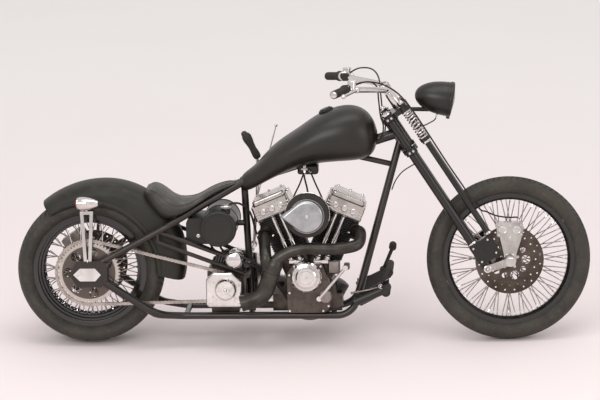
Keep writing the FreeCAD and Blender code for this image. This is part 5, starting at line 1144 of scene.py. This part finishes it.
def softSeat():
    mesh = nodes["seat"].data.copy()
    mesh.transform(nodes["seat"].matrix_world)
    piece = bpy.data.objects.new("seat_cushion", mesh)
    bpy.context.scene.collection.objects.link(piece)
    remesh = piece.modifiers.new("even", "REMESH")
    remesh.mode = "VOXEL"
    remesh.voxel_size = cushion["voxel"]
    bakeShape(piece)
    holdSeams(piece)
    rest = [vertex.co.copy() for vertex in piece.data.vertices]
    inflate(piece)
    for vertex, start in zip(piece.data.vertices, rest):
        moved = vertex.co - start
        if moved.length > cushion["cap"]:
            vertex.co = start + moved * (cushion["cap"] / moved.length)
    smooth = piece.modifiers.new("fine", "SUBSURF")
    smooth.levels = smooth.render_levels = 1
    bakeShape(piece)
    for face in piece.data.polygons:
        face.use_smooth = True
    piece.data.materials.clear()
    piece.data.materials.append(seatLeather.material)
    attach(piece, "frame")
    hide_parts("seat")
    return skinOf(piece.data)


def seatSeams(skin):
    piping = Stock()
    stitch = Stock()
    for side in (1, -1):
        path = seamPath(side, cushion["angle"], cushion["inset"], skin, Matrix())
        sunk = [point - seamRay(side, cushion["angle"]) * cushion["sunk"] for point in path[::3]]
        piping.sweep(smoothPath(sunk, 4), cushion["piping"], 8)
        for shift in cushion["stitches"]:
            out = seamRay(side, cushion["angle"] + shift)
            path = seamPath(side, cushion["angle"] + shift, cushion["stitchInset"], skin, Matrix())
            dense = smoothPath(path, 3)
            for low, high in zip(dense[::2], dense[1::2]):
                stitch.sweep([low - out * 3.4, low + (high - low) * 0.2 - out * 2.2, high - out * 3.4],
                             cushion["thread"], 5)
    piping.build("seat_piping", parked, seatLeather, "frame", 60)
    stitch.build("seat_stitches", parked, hoseRubber, "frame", 60)


seatSeams(softSeat())
print("seat")


# Handlebar: ribbed grips, bar-end caps, switch housings, reservoir lids, riser sleeves and screws
bars = {
    "ahead": 60, "up": 170, "end": (-232.0, 410.0, 12.0), "shoulder": (-178.0, 300.0, 22.0),
    "grip": [(0, -4.2), (14.5, -4.2), (17.4, -1.5)] + ribbed(98, 6.0, 17.5, 16.4, (3.4, 4.2, 5.4)) + [
        (17.5, 103), (22.2, 104.5), (22.6, 110), (20, 112), (12.9, 112)],
    "cap": ((0, 5.5), (7, 5.2), (13, 3.4), (15.2, 0), (15.2, -3)), "perch": 113,
    "band": ((19.4, 4), (20.4, 6), (20.4, 15), (19.4, 17)),
    "lid": ((18.2, -3), (19.6, -2), (19.6, 3), (17.5, 5.2), (7, 5.8), (0, 5.8)),
    "button": ((3, 0), (3, 3), (2, 4), (0, 4)),
    "riserSide": 45, "riserScrews": ((74, 186), (46, 186), (78, 158), (42, 158)),
    "riserSleeve": ((15.1, 74), (20, 75), (21.5, 78), (21.5, 138), (20, 148), (16, 152), (15.1, 152)),
}


def barEnd(side):
    ahead, up = rakeAxes()
    centre = neckCentre() + ahead * bars["ahead"] + up * bars["up"]
    end, shoulder = (centre + Vector((x, side * y, z)) for x, y, z in (bars["end"], bars["shoulder"]))
    return end, (shoulder - end).normalized()


def barTrim():
    grip = Stock()
    bright = Stock()
    black = Stock()
    screws = Stock()
    for side in (1, -1):
        end, inward = barEnd(side)
        grip.lathe(bars["grip"], end, inward, 36)
        bright.lathe(bars["cap"], end - inward * 4, -inward, 28)
        start = end + inward * bars["perch"]
        black.lathe(bars["band"], start, inward, 28)
        ahead = (forward - inward * inward.x).normalized()
        lid = start + inward * 20 + ahead * 23 + upward * 32
        bright.lathe(bars["lid"], lid, upward, 36)
        for x, y in circle(4, 12, 45):
            bright.capHead(lid + Vector((x, y, 5)), upward, 2.6)
        bright.acorn(start + inward * 17 + ahead * 46 + upward * 9, upward, 6)
        housing = start + inward * 46
        black.slab(housing - upward * 4, (15, 13, 17), 4)
        for shift in (-6, 6):
            black.lathe(bars["button"], housing + Vector((-15, shift, 0)), -forward, 12)
        riser = Vector((bars["ahead"], side * bars["riserSide"], 0))
        for spot in onSide(riser.y, *bars["riserScrews"]):
            screws.capHead(spot, upward, 4)
        screws.hoop(riser + upward * 72, upward, 16.4, 2.0, 28)
        screws.lathe(bars["riserSleeve"], riser, upward, 36, looped=True)
    grip.build("ribbed_grips", steered, gripRubber, "steering", 25, ["grips"])
    bright.build("bar_control_trim", steered, chrome, "steering")
    black.build("bar_switches", steered, satinBlack, "steering")
    screws.build("riser_screws", fork, chrome, "steering")


barTrim()
print("bars")


# Cylinders, drawn up each cylinder from the crankshaft: rocker-box ribs and screws, plugs and their caps
cylinder = {
    "ribs": (387, 399, 411), "lid": 458, "joints": ((84.3, 92.3, 14, 376.2), (72.5, 77.6, 12, 437.0)),
    "lidScrews": (-56, 0, 56), "lidSide": 64, "lugs": ((-76, -30), (-76, 30), (76, -30), (76, 30)),
    "boss": ((13, 0), (13, 5), (11, 7), (0, 7.6)), "studs": ((-62.64, -62), (62.64, -62), (-62.64, 62), (62.64, 62)),
    "plug": (34, -78, 334), "plugOut": Vector((0, -1, 0.25)), "plugHex": ((11, -6), (11, 0), (9, 2)),
    "plugCap": ((7, 0), (8.5, 3), (8.5, 18), (7, 21), (7, 30), (5, 32)), "plugLead": 32,
    "feet": (32.48, 71.92), "tops": (-25.2, 10.08),
}


def roundRect(wide, deep, corner, height):
    path = []
    for quarter, (signX, signY) in enumerate(((1, 1), (-1, 1), (-1, -1), (1, -1))):
        centre = Vector((signX * (wide - corner), signY * (deep - corner), height))
        for step in range(5):
            x, y = circle(1, corner, 90 * quarter + 22.5 * step)[0]
            path.append(centre + Vector((x, y, 0)))
    return path


def cylinderTop(side):
    bright = Stock()
    dark = Stock()
    for height in cylinder["ribs"]:
        bright.loop(roundRect(84, 92, 14, height), 1.8, 6)
    for wide, deep, corner, height in cylinder["joints"]:
        dark.loop(roundRect(wide, deep, corner, height), 1.5, 6)
    for x in cylinder["lidScrews"]:
        for y in (-cylinder["lidSide"], cylinder["lidSide"]):
            bright.capHead((x, y, cylinder["lid"]), upward, 5.4)
    for x, y in cylinder["lugs"]:
        bright.hexHead((x, y, 436), upward, 5)
    for x in (-40, 0, 40):
        bright.lathe(cylinder["boss"], (x, -92, 404), -leftward, 24)
        bright.capHead((x, -99, 404), -leftward, 4.5)
    for x, y in cylinder["studs"]:
        bright.hexHead((x, y, 366), -upward, 6)
    x, y, z = cylinder["plug"]
    plug = Vector((-side * x, y, z))
    out = cylinder["plugOut"].normalized()
    bright.lathe(cylinder["plugHex"], plug, out, 6)
    dark.lathe(cylinder["plugCap"], plug, out, 18)
    name = "front" if side > 0 else "rear"
    bright.build(name + "_head_trim", parked @ cylinderTurn(side), chrome, "frame")
    dark.build(name + "_head_seals", parked @ cylinderTurn(side), gripRubber, "frame")
    return cylinderTurn(side) @ (plug + out * cylinder["plugLead"])


def pushrodEnds(side, index):
    foot = Vector((bike["crank"].x + side * cylinder["feet"][index], -99, 354.2))
    return foot, cylinderTurn(side) @ Vector((side * cylinder["tops"][index], -88.2, 373.7))


plugTops = [cylinderTop(side) for side in (1, -1)]


# Engine: pushrod seals, tappet blocks, cover screws, air cleaner rings, oil filter and side castings
engine = {
    "sleeve": ((9.2, 0), (11.6, 1), (11.6, 5), (9.2, 6)), "sleeves": (0.28, 0.46), "blockHalf": (34, 17, 9),
    "blockScrews": ((-27, -11), (27, -11), (-27, 11), (27, 11)), "caseFace": -136,
    "caseScrews": ((858, 150), (1001, 150), (1024, 171), (1024, 256), (992, 343), (940, 343), (880, 343), (858, 305),
                   (858, 228)),
    "cam": Vector((930.7, -136.3, 297)), "camRings": ((-19.6, 50.5, 1.5, 60), (-28.2, 30, 1.3, 48)),
    "cleaner": (940, 572), "nut": ((8, -1), (8, 2), (6.5, 3.4), (3.5, 3.4), (3.2, 1.2), (0, 1.0)),
    "backPlate": ((95, -1.5), (96, 0), (96, 3), (94.5, 4.5), (90, 4.5), (90, -1.5)),
    "pleats": (-176, -182.5, -195.5, -202), "filterFoot": Vector((1040, 20, 192)),
    "filterAxis": Vector((0.5, 0, 0.866)), "filter": ((38, 0), (40, 2), (40, 60), (38, 64), (20, 70), (0, 71)),
    "castings": (((1046, -60, 330), (26, 34, 30), 6), ((878, -104, 178), (24, 22, 24), 5),
                 ((1000, -104, 182), (22, 24, 26), 5)),
    "pump": ((26, 0), (28, 2), (28, 16), (24, 20), (0, 21)),
    "pumpScrews": ((994, 202), (1030, 202), (994, 226), (1030, 226)),
}


def engineTrim():
    bright = Stock()
    dark = Stock()
    for side in (1, -1):
        for index in (0, 1):
            foot, top = pushrodEnds(side, index)
            axis = (top - foot).normalized()
            for share in engine["sleeves"]:
                bright.lathe(engine["sleeve"], foot + (top - foot) * share, axis, 20)
            dark.hoop(foot + axis * 28, axis, 10.4, 2.2, 24)
            dark.hoop(top - axis * 4, axis, 10.2, 2.4, 24)
        block = Vector((bike["crank"].x + side * 52, -100, 358))
        bright.slab(block, engine["blockHalf"], 3)
        for x, y in engine["blockScrews"]:
            bright.capHead(block + Vector((x, y, 9)), upward, 4.2)
    for spot in onSide(engine["caseFace"], *engine["caseScrews"]):
        bright.capHead(spot, -leftward, 5)
    cam = engine["cam"]
    for x, z in circle(6, 61, 20):
        bright.capHead(cam + Vector((x, -8, z)), -leftward, 4.4)
    for away, radius, tube, segments in engine["camRings"]:
        bright.hoop(cam + leftward * away, -leftward, radius, tube, segments)
    bright.capHead(cam - leftward * 28, -leftward, 6)
    x, z = engine["cleaner"]
    bright.lathe(engine["nut"], (x, -231, z), -leftward, 24)
    bright.lathe(engine["backPlate"], (x, -166, z), -leftward, 72, looped=True)
    bright.hoop((x, -208.6, z), -leftward, 72.5, 1.6, 72)
    dark.hoop((x, -189, z), -leftward, 92.2, 1.4, 72)
    for y in engine["pleats"]:
        dark.hoop((x, y, z), -leftward, 92.1, 1.0, 72)
    bright.build("engine_trim", parked, chrome, "frame")
    dark.build("engine_seals", parked, gripRubber, "frame")


def engineCastings():
    oil = Stock()
    foot, axis = engine["filterFoot"], engine["filterAxis"]
    oil.lathe(engine["filter"], foot, axis, 36)
    for step in range(8):
        oil.hoop(foot + axis * (8 + 6.5 * step), axis, 39.6, 1.3, 40)
    oil.build("oil_filter", parked, satinBlack, "frame")
    cast = Stock()
    for centre, half, bevel in engine["castings"]:
        cast.slab(centre, half, bevel)
    cast.lathe(engine["pump"], (1012, -136, 214), -leftward, 32)
    for spot in onSide(-150, *engine["pumpScrews"]):
        cast.capHead(spot, -leftward, 3.6)
    cast.build("engine_castings", parked, bareAlloy, "frame")


engineTrim()
engineCastings()
print("engine")


# Exhaust: two headers, a fuller collector, port flanges and studs, a band clamp and a rolled outlet
pipes = {
    "header": 25.0, "collector": 37.0, "outlet": 33.0, "wall": 2.5, "neck": 26.0, "swellEnd": 0.12, "taperStart": 0.7,
    "port": (66, -66, 319), "flange": ((25.2, 0), (34, 0.4), (34, 8), (25.2, 8.4)), "plane": -199.2,
    "front": (1, Vector((0.62, -0.78, 0.06)),
              ((1151.2, -175.2, 444.8), (1074.4, -199.2, 430.4), (1000, -199.2, 430), (930.4, -199.2, 432),
               (868, -199.2, 418), (812, -199.2, 386), (792, -199.2, 352))),
    "rear": (-1, Vector((-0.06, -0.85, -0.52)),
             ((762.4, -199.2, 400), (768, -199.2, 352), (780, -199.2, 310))),
    "run": ((812, 386), (794, 352), (778, 306), (762, 258), (734, 222), (694, 206), (656.8, 195.2)),
    "stud": ((3.4, -12), (3.4, 10), (2.4, 11)), "bandAt": (786, -199.2, 330), "bandAxis": Vector((-0.33, 0, -0.944)),
    "band": ((37.2, 0), (39.6, 1), (39.6, 15), (37.2, 16)), "endAt": (656.8, -199.2, 195.2),
    "endAxis": Vector((-0.96, 0, -0.28)),
    "end": ((33.0, -9), (35.0, -7), (35.4, -1), (33.6, 1.4), (31.4, 0.6), (30.7, -4)),
}


def portMouth(side):
    x, y, z = pipes["port"]
    return cylinderTurn(side) @ Vector((side * x, y, z))


def exhaustTrim():
    bright = Stock()
    dark = Stock()
    for side, facing, _ in (pipes["front"], pipes["rear"]):
        out = facing.normalized()
        flange = portMouth(side) + out * 18
        across = acrossFrom(out)[0]
        for way in (1, -1):
            stud = flange + across * way * 33 + out * 4
            bright.lathe(pipes["stud"], stud, out, 10)
            bright.acorn(stud + out * 2, out, 5)
        bright.slab(flange + out * 5, (4, 4, 4), 1)
    dark.lathe(pipes["band"], pipes["bandAt"], pipes["bandAxis"], 48, looped=True)
    dark.lathe(pipes["end"], pipes["endAt"], pipes["endAxis"], 48, looped=True)
    bright.build("exhaust_studs", parked, chrome, "frame")
    dark.build("exhaust_bands", parked, exhaustBlack, "frame")


def exhaustPipes():
    stock = Stock()
    for side, facing, corners in (pipes["front"], pipes["rear"]):
        out = facing.normalized()
        mouth = portMouth(side)
        path = [mouth + out * 12, mouth + out * 60] + [Vector(corner) for corner in corners]
        stock.sweep(smoothPath(path, 8), pipes["header"], 28)
        stock.lathe(pipes["flange"], mouth + out * 18, out, 40, looped=True)
    path = smoothPath([Vector(corner) for corner in onSide(pipes["plane"], *pipes["run"])], 10)
    outer = []
    for index in range(len(path)):
        share = index / (len(path) - 1)
        swell = (pipes["collector"] - pipes["neck"]) * min(share / pipes["swellEnd"], 1.0)
        taper = max(share - pipes["taperStart"], 0) / (1 - pipes["taperStart"])
        outer.append(pipes["neck"] + swell - (pipes["collector"] - pipes["outlet"]) * taper)
    inward = path[:-21:-1]
    stock.sweep(path + inward, outer + [pipes["outlet"] - pipes["wall"]] * len(inward), 32)
    stock.build("exhaust_pipes", parked, exhaustBlack, "frame", 40, ["exhaust"])


exhaustTrim()
exhaustPipes()


# Gearbox side cover, primary case, oil tank and tank cap
cases = {
    "gearFace": -167.3, "gearScrews": ((518, 186), (644, 186), (644, 268), (606, 309), (541, 309), (517, 284)),
    "gearHub": (588, 250),
    "gearRings": ((-168.4, 46.2, 1.6, 56), (-189.4, 37.5, 1.3, 48), (-189.4, 18.5, 1.1, 40)),
    "primaryFace": 177, "clutch": (600, 266), "clutchRadius": 95, "crankRadius": 72, "clutchLid": 184,
    "upper": (680, 770, 860), "oil": (559, 508), "oilBands": ((146, 75.6, 2.2), (152.4, 62, 1.2)),
    "filler": (589, -98, 597), "fillerTop": ((19, 1.5), (16, 5), (8, 6), (0, 6)),
    "cap": Vector((1017.65, 0, 989.1)), "capSlope": 21.5, "capTop": ((25, 9), (23.6, 13.6), (14, 14.6), (0, 14.8)),
}


def gearboxTrim(bright):
    x, z = cases["gearHub"]
    for spot in onSide(cases["gearFace"], *cases["gearScrews"]):
        bright.capHead(spot, -leftward, 4.6)
    for y, radius, tube, segments in cases["gearRings"]:
        bright.hoop((x, y, z), -leftward, radius, tube, segments)
    hub = Vector((x, -189.3, z))
    bright.acorn(hub, -leftward, 8)
    for across, over in circle(5, 28, 18):
        bright.capHead(hub + Vector((across, 0, over)), -leftward, 3.6)


def primaryTrim(bright):
    face = cases["primaryFace"]
    for across, over in circle(12):
        # the rear half of the case goes round the clutch, and the front half round the crank
        (x, z), radius = ((cases["clutch"], cases["clutchRadius"]) if across < 0.1
                          else ((bike["crank"].x, bike["crank"].z), cases["crankRadius"]))
        bright.capHead((x + radius * across, face, z + radius * over), leftward, 5)
    for x in cases["upper"]:
        for top, slope in ((357, 0.21), (175, 0.1)):
            bright.capHead((x, face, top - (x - cases["clutch"][0]) * slope), leftward, 5)
    x, z = cases["clutch"]
    for across, over in circle(5, 58):
        bright.capHead((x + across, cases["clutchLid"], z + over), leftward, 4.4)
    crank = bike["crank"] + leftward * face
    bright.hoop(crank + leftward * 0.2, leftward, 46, 2.2, 60)
    bright.acorn(crank, leftward, 11)


def caseTrim():
    bright = Stock()
    dark = Stock()
    gearboxTrim(bright)
    primaryTrim(bright)
    x, z = cases["oil"]
    for side in (1, -1):
        for away, radius, tube in cases["oilBands"]:
            dark.hoop((x, side * away, z), leftward, radius, tube, 72)
    dark.hoop((x, 0, z), leftward, 75.4, 1.6, 72)
    bright.knurled(cases["filler"], upward, 20.6, (-9, 2), 36, 0.9)
    bright.lathe(cases["fillerTop"], cases["filler"], upward, 30)
    for x in (470, 520):
        bright.hexHead((x, -98.2, 470), -leftward, 6)
    slope = math.radians(cases["capSlope"])
    axis = Vector((-math.sin(slope), 0, math.cos(slope)))
    dark.knurled(cases["cap"], axis, 30.6, (3, 9.4), 44, 1.0)
    dark.lathe(cases["capTop"], cases["cap"], axis, 40)
    dark.hoop(cases["cap"] + axis * 3.2, axis, 32, 1.6, 60)
    bright.build("case_screws", parked, chrome, "frame")
    dark.build("tank_caps_and_bands", parked, satinBlack, "frame")


caseTrim()


# Foot controls: ribbed peg and pedal rubbers, with the controls' bolts
footControl = {
    "side": 178, "peg": (1272.8, 256.2), "pedal": (1290, 363.2), "boltFace": 155.2,
    "bolts": ((1150, 236), (1196, 218), (1268, 244)), "pivot": (1248.8, 265.2), "pivotFace": 186,
    "pegRubber": [(15.2, 0)] + ribbed(94, 9.0, 18.6, 16.4, (5, 6, 8)) + [(17.0, 97), (12, 100), (0, 101)],
    "pedalRubber": [(13.8, 0)] + ribbed(56, 6.4, 16.2, 14.6, (3.4, 4.2, 5.4)) + [(15, 61), (9, 63.6), (0, 64)],
}


def pegRubbers():
    stock = Stock()
    bright = Stock()
    for side in (1, -1):
        out = leftward * side
        peg, pedal = onSide(side * footControl["side"], footControl["peg"], footControl["pedal"])
        stock.lathe(footControl["pegRubber"], peg, out, 28)
        stock.lathe(footControl["pedalRubber"], pedal, out, 24)
        for spot in onSide(side * footControl["boltFace"], *footControl["bolts"]):
            bright.hexHead(spot, out, 5)
        bright.acorn(onSide(side * footControl["pivotFace"], footControl["pivot"])[0], out, 8)
    stock.build("foot_rubbers", parked, gripRubber, "frame")
    bright.build("foot_control_bolts", parked, chrome, "frame")


pegRubbers()
print("cases and controls")


# Lines and leads, each held at both ends
hoses = (
    ("front_brake_line", 3.4, (steered, "steering"), (
        (1826, -86, 514), (1822, -90, 534), (1795, -95, 536), (1767, -98, 538), (1727, -106, 547), (1689, -116, 565),
        (1655, -122, 583), (1586, -124, 683), (1515, -124, 790), (1432, -124, 922), (1366, -126, 1020),
        (1310, -136, 1082), (1248, -180, 1120), (1190, -232, 1136), (1144, -270, 1134), (1122, -290, 1122))),
    ("headlight_lead", 2.6, (steered, "steering"), (
        (1490, -8, 972), (1480, -10, 950), (1459, -12, 937), (1430, -12, 925), (1408, -8, 936), (1392, -4, 958),
        (1384, 0, 972))),
    ("front_plug_lead", 3.6, (parked, "frame"), (
        plugTops[0], plugTops[0] + Vector((-4, -26, 10)), (1000, -128, 640), (975, -104, 690),
        (958, -70, 722), (946, -44, 742))),
    ("rear_plug_lead", 3.6, (parked, "frame"), (
        plugTops[1], plugTops[1] + Vector((4, -26, 10)), (880, -128, 640), (905, -104, 690),
        (918, -70, 722), (928, -44, 742))),
    ("oil_feed_line", 5.0, (parked, "frame"), (
        (560, -70, 436), (566, -84, 412), (600, -112, 392), (680, -122, 372), (760, -126, 320), (830, -124, 240),
        (868, -112, 200))),
    ("oil_return_line", 5.0, (parked, "frame"), (
        (520, -60, 440), (530, -76, 410), (590, -106, 372), (690, -116, 350), (780, -118, 290), (850, -116, 196),
        (880, -108, 176))),
    ("fuel_line", 4.0, (parked, "frame"), (
        (925, -52, 742), (924, -58, 716), (936, -74, 668), (942, -96, 628), (940, -108, 602))),
    ("rear_brake_line", 3.2, (parked, "frame"), (
        (1160, -158, 214), (1100, -140, 176), (1000, -130, 146), (800, -130, 142), (600, -130, 142), (420, -136, 142),
        (300, -150, 156), (180, -152, 226), (90, -152, 290), (50, -150, 330))),
    ("breather_line", 4.5, (parked, "frame"), (
        (589, -60, 578), (610, -66, 602), (650, -60, 600), (690, -50, 560), (712, -44, 480), (730, -30, 420))),
)


# end fitting as (radius in shares of the line's, height)
hoseEnd = ((1.2, -2), (1.7, 0), (1.7, 9), (1.3, 11), (1.3, 17), (1.05, 18))


def line(name, radius, place, body, corners):
    path = smoothPath([Vector(corner) for corner in corners], 8)
    hose = Stock()
    hose.sweep(path, radius, 10)
    hose.build(name, place, hoseRubber, body, 60)
    ends = Stock()
    for spot, inner in ((path[0], path[2]), (path[-1], path[-3])):
        ends.lathe([(radius * share, height) for share, height in hoseEnd], spot, inner - spot, 12)
    ends.build(name + "_ends", place, chrome, body)


for name, radius, (place, body), corners in hoses:
    line(name, radius, place, body, corners)


# Cables from the bars to the frame
crossing = (
    ("throttle_cable", 3.2, (
        (1104, -294, 1108), (1150, -258, 1136), (1206, -190, 1142), (1238, -130, 1112), (1244, -80, 1048),
        (1250, -58, 980), (1262, -50, 930), (1250, -40, 880), (1200, -34, 846))),
    ("clutch_cable", 3.2, (
        (1104, 294, 1108), (1150, 258, 1136), (1206, 190, 1142), (1238, 130, 1114), (1248, 80, 1050),
        (1256, 58, 982), (1268, 52, 932), (1262, 46, 880), (1240, 40, 840))),
    ("speed_cable", 2.6, (
        (1436, -92, 770), (1410, -96, 780), (1376, -92, 764), (1340, -84, 738), (1312, -74, 700), (1296, -66, 660))),
)
for name, radius, corners in crossing:
    stock = Stock()
    path = smoothPath([Vector(corner) for corner in corners], 10)
    stock.sweep(path, radius, 10)
    piece = stock.build(name, parked, hoseRubber, None, 60)
    tuple(parked @ path[6])
    tuple(parked @ path[-6])
    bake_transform(piece)
print("lines")


# Petcock, coil, rear brake linkage, damper and starter, and the hand lever's rod and grip
smallParts = {
    "tap": (925, -52, 782), "tapBody": ((12, 0), (12, 8), (8, 10), (8, 26), (10, 27), (10, 36), (4, 38), (4, 44)),
    "knob": ((6, 0), (6, 14), (8, 15), (8, 19), (0, 20)),
    "coil": (((938, 0, 742), (44, 42, 20), 6), ((938, 0, 762), (20, 20, 22), 3)),
    "link": ((1246, -176, 262), (1200, -172, 248), (1120, -168, 232)),
    "lugs": (((1104, -138, 344), (12, 22, 12), 3), ((985, -142, 205), (10, 10, 10), 3)),
    "damper": ((1098, -158, 340), (1040, -154, 272), (985, -150, 205)), "eye": ((11, -6), (12, -5), (12, 5), (11, 6)),
    "starter": Vector((622, -40, 366)), "starterBands": (0, 14, 60, 74),
    "starterCase": ((30, -20), (34, -18), (36, -10), (36, 78), (34, 82), (28, 86), (0, 87)),
    "rod": ((693, 118, 392), (694, 122, 470), (700, 124, 560), (796, 124, 910)),
    "ball": ((0, -7), (4.5, -6.2), (7.4, -2), (7.4, 2), (4.5, 6.2), (0, 7)),
    "grip": ((0, -5), (11, -4), (16, 3), (17.5, 18), (14.6, 42), (16, 62), (20, 86), (20.6, 102), (16, 114),
             (7, 120), (0, 121)),
    "gripAt": (715, 124, 770), "gripAxis": Vector((-0.463, 0, 0.886)),
}


def tankFittings():
    tap = Stock()
    tap.lathe(smallParts["tapBody"], smallParts["tap"], -upward, 20)
    tap.lathe(smallParts["knob"], (925, -58, 752), -leftward, 18)
    tap.slab((925, -76, 752), (14, 3, 5), 2)
    tap.build("petcock", parked, chrome, "frame")
    coil = Stock()
    for centre, half, bevel in smallParts["coil"]:
        coil.slab(centre, half, bevel)
    coil.build("ignition_coil", parked, satinBlack, "frame")


def lowFittings():
    link = Stock()
    link.sweep([Vector(corner) for corner in smallParts["link"]], 5, 10)
    for centre, half, bevel in smallParts["lugs"]:
        link.slab(centre, half, bevel)
    link.build("brake_linkage", parked, steelDark, "frame")
    bright = Stock()
    bright.sweep([Vector(corner) for corner in smallParts["damper"]], 7, 12)
    for spot in (smallParts["damper"][0], smallParts["damper"][-1]):
        bright.lathe(smallParts["eye"], spot, leftward, 20)
    starter = smallParts["starter"]
    bright.lathe(smallParts["starterCase"], starter, -leftward, 40)
    for away in smallParts["starterBands"]:
        bright.hoop(starter - leftward * away, leftward, 36, 1.4, 44)
    for x, z in circle(3, 26, 30):
        bright.capHead(starter + Vector((x, -87, z)), -leftward, 4)
    bright.build("starter_and_damper", parked, chrome, "frame")


def handLever():
    rod = Stock()
    path = [Vector(corner) for corner in smallParts["rod"]]
    rod.sweep(path, 3.4, 12)
    rod.lathe(smallParts["ball"], path[-1], path[-1] - path[-2], 20)
    rod.build("release_rod", parked, chrome, "frame")
    grip = Stock()
    grip.lathe(smallParts["grip"], smallParts["gripAt"], smallParts["gripAxis"], 28)
    grip.build("lever_grip", parked, gripRubber, "frame")


tankFittings()
lowFittings()
handLever()
print("small fittings")


# Camera, stage and lights
camera = {"at": (0.841, -14.634, 5.152), "yaw": -3.245, "pitch": 17.158, "roll": -1.335, "focal": 3605.6,
          "width": 600, "sensor": 36, "reach": 100}
# near is a darker floor tone painted as shade round the motorcycle; far is the paler tone further out
stage = {"near": tone(236, 224, 224), "far": tone(243, 239, 238), "radii": (0.0, 1.5, 4.0, 12.0, 45.0), "sides": 64,
         "world": 0.85, "warm": (1.0, 0.975, 0.972, 1)}
lights = {
    "key": {"at": (-1.5, -5.0, 3.4), "aim": (0, 0, 0.5), "size": (3.2, 2.0), "power": 95},
    "top": {"at": (0.4, -0.6, 4.2), "aim": (0, 0.2, 0), "size": (4.0, 2.0), "power": 50},
    "fill": {"at": (4.6, -3.2, 2.0), "aim": (0.4, 0, 0.6), "size": (2.0, 2.4), "power": 30},
}


def setCamera():
    lens = bpy.data.cameras.new("camera")
    lens.sensor_width = camera["sensor"]
    lens.lens = camera["focal"] / camera["width"] * camera["sensor"]
    lens.clip_end = camera["reach"]
    holder = bpy.data.objects.new("camera", lens)
    bpy.context.scene.collection.objects.link(holder)
    turn = (Matrix.Rotation(math.radians(-camera["yaw"]), 4, "Z")
            @ Matrix.Rotation(math.radians(90 - camera["pitch"]), 4, "X")
            @ Matrix.Rotation(math.radians(camera["roll"]), 4, "Z"))
    holder.matrix_world = Matrix.Translation(camera["at"]) @ turn
    bpy.context.scene.camera = holder


def setStage():
    # wide pale floor, with painted shade round the motorcycle that fades out to a paler tone further off
    stock = Stock()
    stock.rings([[Vector((x, y, 0)) for x, y in circle(stage["sides"], radius)] for radius in stage["radii"]],
                capped=False)
    mesh = bpy.data.meshes.new("stage_floor")
    mesh.from_pydata(stock.points, [], stock.faces)
    floor = bpy.data.objects.new("stage_floor", mesh)
    bpy.context.scene.collection.objects.link(floor)
    look = Look("stageCloth")
    where = look.node("ShaderNodeTexCoord", {}, {}, "Object")
    away = look.node("ShaderNodeVectorMath", {"operation": "LENGTH"}, {0: where}, 1)
    # share of the far tone: painted shade near the motorcycle that fades with distance, plus a faint random mottle
    floorShadeShare = look.noise(1.4, 3) * 0.3 + away.between(0.8, 5.0) * 0.85
    look.finish(colour=look.blend(floorShadeShare, stage["near"], stage["far"]), rough=0.8, specular=0.15)
    mesh.materials.append(look.material)


def setLights():
    world = bpy.data.worlds.new("studio")
    bpy.context.scene.world = world
    world.use_nodes = True
    background = world.node_tree.nodes["Background"]
    background.inputs["Color"].default_value = stage["warm"]
    background.inputs["Strength"].default_value = stage["world"]
    for name, settings in lights.items():
        lamp = bpy.data.lights.new(name, "AREA")
        lamp.shape = "RECTANGLE"
        lamp.size, lamp.size_y = settings["size"]
        lamp.energy = settings["power"]
        holder = bpy.data.objects.new(name, lamp)
        holder.location = settings["at"]
        towards = Vector(settings["aim"]) - Vector(settings["at"])
        holder.rotation_euler = towards.to_track_quat("-Z", "Y").to_euler()
        bpy.context.scene.collection.objects.link(holder)


bpy.context.scene.view_settings.view_transform = "Standard"
setCamera()
setStage()
setLights()
print("stage, lights and camera")
